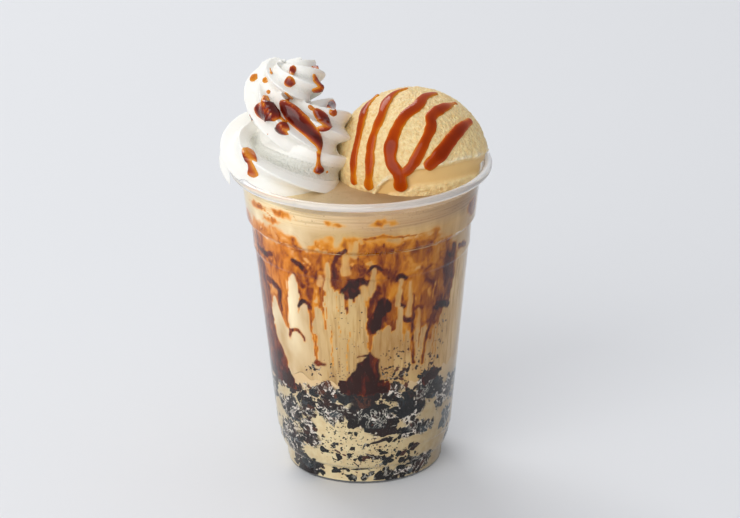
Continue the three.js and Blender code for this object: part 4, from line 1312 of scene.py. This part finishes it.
def scoop_surface(azimuth, elevation, grain):
    """Places on the scoop with its torn grain, its lip and its band."""
    ball = on_scoop(azimuth, elevation)
    under, band = scoop_band(azimuth, elevation)
    tear = grain * (0.6 * noise(ball, 2.1, 21) + 0.8 * np.abs(noise(ball, 1.2, 22))
                    + 0.5 * noise(ball, 0.7, 23))
    sweep = 0.35 * noise(ball * (1, 1, 0.5), 9.0, 24)
    lip = np.exp(-((under + 1.2 + 1.4 * noise(ball, 1.6, 25)) / 1.3) ** 2)
    lip *= smooth(0.6 + 1.2 * noise(ball, 2.4, 27))
    out = (tear + sweep) * (1 - 0.85 * band) - SCOOP_LIP * band
    out += lip * (0.3 + 0.5 * noise(ball, 1.0, 26))
    return on_scoop(azimuth, elevation, out), lip, band


class COFFEE_JELLY_OT_scoop(bpy.types.Operator):
    """Ball of ice cream with its lip and smooth band, and the caramel run down it"""
    bl_idname = "coffee_jelly.scoop"
    bl_label = "Ice cream"

    def execute(self, context):
        settings, caramel = context.scene.coffee_ice, context.scene.coffee_caramel
        grain = settings.grain / MM

        def place(u, v):
            azimuth = u * 360 - 180
            share = np.clip((v - SCOOP_UNDER) / (1 - SCOOP_UNDER), 0, 1)
            p, *_ = scoop_surface(azimuth, SCOOP_LOW + (90 - SCOOP_LOW) * share, grain)
            # the top row meets in one place, and the lowest rows close the underside
            p = np.where((v > 0.9999)[:, None], on_scoop(0 * u, 90 + 0 * u), p)
            p[:, :2] = np.where((v < SCOOP_UNDER)[:, None], SCOOP_AT[:2] + (p[:, :2] - SCOOP_AT[:2])
                                * (v / SCOOP_UNDER)[:, None], p[:, :2])
            p[:, 2] = np.maximum(p[:, 2], DRINK_LEVEL - 0.4)
            # inside the cup it keeps clear of the wall
            radius = np.hypot(p[:, 0], p[:, 1])
            clear = wall_radius(np.minimum(p[:, 2], 117.0)) - WALL - 0.2
            held = (p[:, 2] < CUP_HEIGHT + 0.2) & (radius > clear)
            p[:, :2] *= np.where(held, clear / radius, 1)[:, None]
            return p

        scoop = sheet("ice_cream", 420, 140, place)
        way = (corners(scoop) - SCOOP_AT) / SCOOP_REACH
        elevation = np.degrees(np.arctan2(way[:, 2], np.hypot(way[:, 0], way[:, 1])))
        _, lip, band = scoop_surface(azimuth_of(way), elevation, grain)
        attribute(scoop, "frost", np.clip(0.7 * lip, 0, 1))
        attribute(scoop, "band", band)
        shade(scoop)
        finish_piece(scoop, vanilla_ice(settings), SCOOP_SLOT, "ice_cream_scoop")
        runs = []
        for i, (line, (half, thick, drop)) in enumerate(zip(SCOOP_SAUCE, SCOOP_WIDTHS)):
            azimuth, elevation = np.array(line, float).T
            path = dense(on_scoop(azimuth, elevation, np.full(len(line), 0.3)), SAUCE_STEP)
            outs = [(p - SCOOP_AT) / SCOOP_REACH ** 2 for p in path]
            outs = [out / np.linalg.norm(out) for out in outs]
            half = widths(path, half, drop, 0.2, 30 + i)
            runs.append(sauce_run(path, outs, half, thick, SCOOP_SINK))

        def above(place):
            return (np.linalg.norm((place - SCOOP_AT) / SCOOP_REACH) - 1) * SCOOP_REACH[1]

        sauce = wet("scoop_caramel", runs, above, SCOOP_FULL)
        finish_piece(sauce, sauce_on("Caramel on ice cream", (
            (0.1, "#e29a24"), (0.3, "#d27c0e"), (0.5, caramel.body),
            (0.72, "#8c2a02"), (1.0, "#5c1804")), 0.22), SCOOP_SLOT, "ice_cream_scoop")
        return {"FINISHED"}


# ---- whipped cream ----
def ridges_at(turns):
    """Where the rope's ridges lie, in degrees, once round and one more: an (n, 7) array."""
    first, span = ROPE_RIDGES[0], ROPE_RIDGES[-1] - ROPE_RIDGES[0]
    shift = WIDE_CLOSES * smooth(turns)[:, None]
    ridges = np.array(ROPE_RIDGES, float)
    ridges = ridges - shift * (span - (ridges - first)) / span
    return np.hstack((ridges, ridges[:, :1] + 360))


def rope_groove(turns, ridge):
    """Depth of the groove as a share of the rope's radius, and the angle round the rope."""
    ridges = ridges_at(turns)
    i = np.minimum(ridge.astype(int), len(ROPE_RIDGES) - 1)
    row = np.arange(len(turns))
    width = ridges[row, i + 1] - ridges[row, i]
    share = ridge - i
    depth = ROPE_GROOVE * width / GROOVE_WIDTH * np.sin(math.pi * share)
    return depth, ridges[row, i] + width * share


def on_rope(turns, ridge):
    """A place on the rope of cream, so many turns up and so many ridges round it."""
    groove, angle = rope_groove(turns, ridge)
    radius = along(ROPE_RADIUS, turns) * (1 - groove)
    angle = np.radians(angle) + TURN * ROPE_TWIST * turns
    way = math.radians(SWIRL_START) - TURN * turns
    out = np.maximum(ROPE_INNER, along(ROPE_OFFSET, turns) + radius * np.cos(angle))
    return np.stack((SWIRL_X + along(ROPE_LEAN, turns) + out * np.cos(way), out * np.sin(way),
                     along(ROPE_HEIGHT, turns) + radius * np.sin(angle)), axis=1)


def groove_depths(places):
    """How deep the nearest place on the rope is in its groove, as a share of the rope's radius."""
    stations, round_it = 600, 60
    turns = np.repeat(np.linspace(0, SWIRL_TURNS, stations), round_it)
    ridge = np.tile(np.arange(round_it) / round_it * len(ROPE_RIDGES), stations)
    depth, _ = rope_groove(turns, ridge)
    near = KDTree(len(depth))
    for i, p in enumerate(on_rope(turns, ridge)):
        near.insert(p, i)
    near.balance()
    return np.array([depth[near.find(p)[1]] for p in places])


def rim_keeper():
    """What the cream keeps clear of: the wall with its rolled rim, a little enlarged."""
    low, gap, sides = DRINK_LEVEL - 3, 0.15, 96
    inner = wall_radius(low) - WALL - gap
    profile = [(inner, low), (RIM_RADIUS + gap, low), (RIM_RADIUS + gap, CUP_HEIGHT - RIM_ROLL)]
    profile += [(RIM_RADIUS - RIM_ROLL + (RIM_ROLL + gap) * math.cos(a),
                 CUP_HEIGHT - RIM_ROLL + (RIM_ROLL + gap) * math.sin(a))
                for a in np.linspace(0, math.pi, 9)]
    profile += [(wall_radius(NECK_HEIGHT) - WALL - gap, NECK_HEIGHT)]
    places = [(r * math.cos(a), r * math.sin(a), z) for a in np.arange(sides) / sides * TURN
              for r, z in profile]
    n = len(profile)
    faces = [(i * n + j, (i + 1) % sides * n + j, (i + 1) % sides * n + (j + 1) % n,
              i * n + (j + 1) % n) for i in range(sides) for j in range(n)]
    ring = mesh_piece("rim_keeper", places, faces)
    edit(ring, close_up)
    return ring


def seen_on(tree, line):
    """A run of sauce on the cream: its places, with their outward directions and half widths, where
    the camera sees each (x, z) on the plane through the swirl."""
    eye = CAMERA_SPOT / MM
    spots, outs, half = [], [], []
    for x, z, reach in line:
        way = (Vector((x, 0, z)) - eye).normalized()
        hit, out, _, _ = tree.ray_cast(eye, way)
        if hit is None:
            continue
        spots.append(np.array(hit))
        outs.append(np.array((out - 0.6 * way).normalized()))
        half.append(reach * SAUCE_SPREAD)
    spots, outs = np.array(spots).reshape(-1, 3), np.array(outs).reshape(-1, 3)
    for _ in range(3):
        spots[1:-1] = (spots[:-2] + 2 * spots[1:-1] + spots[2:]) / 4
        outs[1:-1] = outs[:-2] + 2 * outs[1:-1] + outs[2:]
        outs /= np.linalg.norm(outs, axis=1)[:, None]
    return spots, outs, np.array(half)


class COFFEE_JELLY_OT_cream(bpy.types.Operator):
    """Swirl of whipped cream piped from a star nozzle, and the caramel on it"""
    bl_idname = "coffee_jelly.cream"
    bl_label = "Whipped cream"

    def execute(self, context):
        settings, caramel = context.scene.coffee_cream, context.scene.coffee_caramel

        def place(u, v):
            return on_rope(u * SWIRL_TURNS, np.minimum(v, 0.999999) * len(ROPE_RIDGES))

        def close_ends():
            bpy.ops.mesh.select_mode(type="VERT")
            bpy.ops.mesh.select_all(action="DESELECT")
            bpy.ops.mesh.select_non_manifold()
            bpy.ops.mesh.fill_holes(sides=0)
            bpy.ops.mesh.select_all(action="SELECT")
            bpy.ops.mesh.normals_make_consistent(inside=False)

        rope = sheet("whipped_swirl", 330, 108, place)
        edit(rope, close_ends)
        choose()
        bpy.ops.mesh.primitive_cone_add(
            vertices=48, radius1=CORE_FOOT * MM, radius2=CORE_TOP * MM, depth=CORE_HEIGHT * MM,
            location=(SWIRL_X * MM, 0, (DRINK_LEVEL + CORE_HEIGHT / 2) * MM))
        core = bpy.context.object
        bpy.ops.object.transform_apply()
        cream = join("whipped_swirl", [rope, core])
        modify(cream, "REMESH", mode="VOXEL", voxel_size=settings.voxel)
        modify(cream, "SMOOTH", factor=0.5, iterations=3)
        foot = (0, 0, (DRINK_LEVEL - 0.3) * MM)
        edit(cream, lambda: bpy.ops.mesh.bisect(
            plane_co=foot, plane_no=(0, 0, 1), clear_inner=True, use_fill=True))
        ring = rim_keeper()
        modify(cream, "BOOLEAN", object=ring, operation="DIFFERENCE", solver="EXACT")
        bpy.data.objects.remove(ring)
        cream.data.validate()
        p = corners(cream)
        # how deep each place lies in a wide groove: for the foam grain there and for the shade
        # painted there
        hollow = smooth((groove_depths(p) - 0.22) / 0.26)
        attribute(cream, "groove", hollow)
        # foam stands in the grooves, and the whole is slightly uneven, but not against the cup
        outward = np.empty(p.size)
        cream.data.vertices.foreach_get("normal", outward)
        grain = (hollow * (0.16 * noise(p, 1.0, 71) + 0.12 * noise(p, 2.2, 72))
                 + 0.1 * noise(p, 5.0, 73))
        set_corners(cream, p + outward.reshape(-1, 3) * (grain * (p[:, 2] > CUP_HEIGHT))[:, None])
        shade(cream)
        finish_piece(cream, whipped(settings), CREAM_SLOT, "whipped_cream")
        tree = tree_of(cream)
        runs = []
        for thick, line in CREAM_SAUCE:
            spots, outs, half = seen_on(tree, dense(line, SAUCE_STEP))
            if len(spots) > 2:
                runs.append(sauce_run(spots, outs, ends_closed(spots, half), thick, CREAM_SINK))

        def above(place):
            near, out, _, _ = tree.find_nearest(place)
            return (Vector(place) - near).dot(out)

        sauce = wet("cream_caramel", runs, above, CREAM_FULL)
        finish_piece(sauce, sauce_on("Caramel on cream", (
            (0.0, "#e3a030"), (0.22, caramel.edge), (0.4, "#b44c08"), (0.62, "#84240a"),
            (0.98, caramel.deep)), 0.6), CREAM_SLOT, "whipped_cream")
        return {"FINISHED"}


# ---- floor, light and camera ----
# two soft boxes on the left, the main one behind and the other in front, in metres
KEY_AT, KEY_SIZE = (-0.7, 1.4, 1.7), 1.1
FILL_AT, FILL_SIZE = (-0.9, -1.8, 1.1), 2.4
LAMPS_AIM = (0, 0, 0.06)


class COFFEE_JELLY_OT_stage(bpy.types.Operator):
    """Pale floor, soft light from the left, and the camera"""
    bl_idname = "coffee_jelly.stage"
    bl_label = "Floor, light and camera"

    def execute(self, context):
        settings = context.scene.coffee_stage
        choose()
        bpy.ops.mesh.primitive_plane_add(size=12)
        floor = bpy.context.object
        floor.name = "floor"
        material, tree = new_material("Pale painted floor")
        add(tree, "OutputMaterial", {"Surface": add(tree, "BsdfPrincipled", {
            "Base Color": settings.floor, "Roughness": 0.6, "Specular IOR Level": 0.3})})
        floor.data.materials.append(material)
        for spot, size, share in ((KEY_AT, KEY_SIZE, 1.0), (FILL_AT, FILL_SIZE, settings.fill)):
            bpy.ops.object.light_add(type="AREA", location=spot)
            lamp = bpy.context.object
            lamp.data.size, lamp.data.energy = size, settings.key * share
            way = Vector(LAMPS_AIM) - Vector(spot)
            lamp.rotation_euler = way.to_track_quat("-Z", "Y").to_euler()
        world = bpy.data.worlds.new("Studio")
        world.use_nodes = True
        tree = world.node_tree
        tree.nodes.clear()
        # a room that is bright behind and overhead and darker in front
        way = add(tree, "SeparateXYZ", {0: add(tree, "TexCoord").outputs["Generated"]})
        depth = add(tree, "Math", {0: way.outputs["Z"], 1: 0.5, 2: way.outputs["Y"]},
                    operation="MULTIPLY_ADD")
        share = add(tree, "MapRange", {"Value": depth, "From Min": -0.9,
                                       "From Max": 1.0})
        walls = add(tree, "ValToRGB", {"Fac": share}, stops=(
            (0.0, "#9a9ca0"), (0.6, "#d0d2d6"), (1.0, "#f8faff")))
        light = add(tree, "Background", {"Color": walls, "Strength": settings.sky})
        add(tree, "OutputWorld", {"Surface": light})
        context.scene.world = world
        context.scene.view_settings.view_transform = "Standard"
        camera = bpy.data.objects.new("camera", bpy.data.cameras.new("camera"))
        context.scene.collection.objects.link(camera)
        lens = camera.data
        lens.sensor_width, lens.clip_end = 36, 50
        lens.lens = LENS_PIXELS / PHOTO_WIDE * lens.sensor_width
        lens.shift_x, lens.shift_y = (s / PHOTO_WIDE for s in SHIFT_PIXELS)
        cosine, sine = math.cos(CAMERA_RISE), math.sin(CAMERA_RISE)
        axes = Matrix(((1, 0, 0), (0, sine, cosine), (0, -cosine, sine))).transposed()
        camera.matrix_world = (Matrix.Translation(CAMERA_SPOT) @ axes.to_4x4()
                               @ Matrix.Rotation(CAMERA_TILT, 4, "Z"))
        context.scene.camera = camera
        return {"FINISHED"}


# ---- panel ----
class COFFEE_JELLY_PT_panel(bpy.types.Panel):
    """Lists each piece's operator with its settings"""
    bl_idname = "COFFEE_JELLY_PT_panel"
    bl_label = "Coffee jelly"
    bl_space_type = "VIEW_3D"
    bl_region_type = "UI"
    bl_category = "Coffee Jelly"

    def draw(self, context):
        for operator, *groups in STEPS:
            box = self.layout.box()
            box.operator(operator.bl_idname)
            for group in groups:
                settings = getattr(context.scene, group)
                for name in settings.__annotations__:
                    box.prop(settings, name)


GROUPS = {
    "coffee_cup": CupSettings, "coffee_drink": DrinkSettings, "coffee_bits": JellySettings,
    "coffee_syrup": SyrupSettings, "coffee_ice": IceCreamSettings, "coffee_cream": CreamSettings,
    "coffee_caramel": CaramelSettings, "coffee_stage": StageSettings,
}
STEPS = (
    (COFFEE_JELLY_OT_cup, "coffee_cup"), (COFFEE_JELLY_OT_drink, "coffee_drink"),
    (COFFEE_JELLY_OT_jelly, "coffee_bits"), (COFFEE_JELLY_OT_syrup, "coffee_syrup"),
    (COFFEE_JELLY_OT_scoop, "coffee_ice", "coffee_caramel"),
    (COFFEE_JELLY_OT_cream, "coffee_cream"), (COFFEE_JELLY_OT_stage, "coffee_stage"),
)
CLASSES = (*GROUPS.values(), *(step[0] for step in STEPS), COFFEE_JELLY_PT_panel)


def register():
    for cls in CLASSES:
        bpy.utils.register_class(cls)
    for name, group in GROUPS.items():
        setattr(bpy.types.Scene, name, bpy.props.PointerProperty(type=group))


def unregister():
    for name in GROUPS:
        delattr(bpy.types.Scene, name)
    for cls in reversed(CLASSES):
        bpy.utils.unregister_class(cls)


def main():
    register()
    bpy.ops.coffee_jelly.cup()
    bpy.ops.coffee_jelly.drink()
    bpy.ops.coffee_jelly.jelly()
    bpy.ops.coffee_jelly.syrup()
    bpy.ops.coffee_jelly.scoop()
    bpy.ops.coffee_jelly.cream()
    bpy.ops.coffee_jelly.stage()


if __name__ == "__main__":
    main()
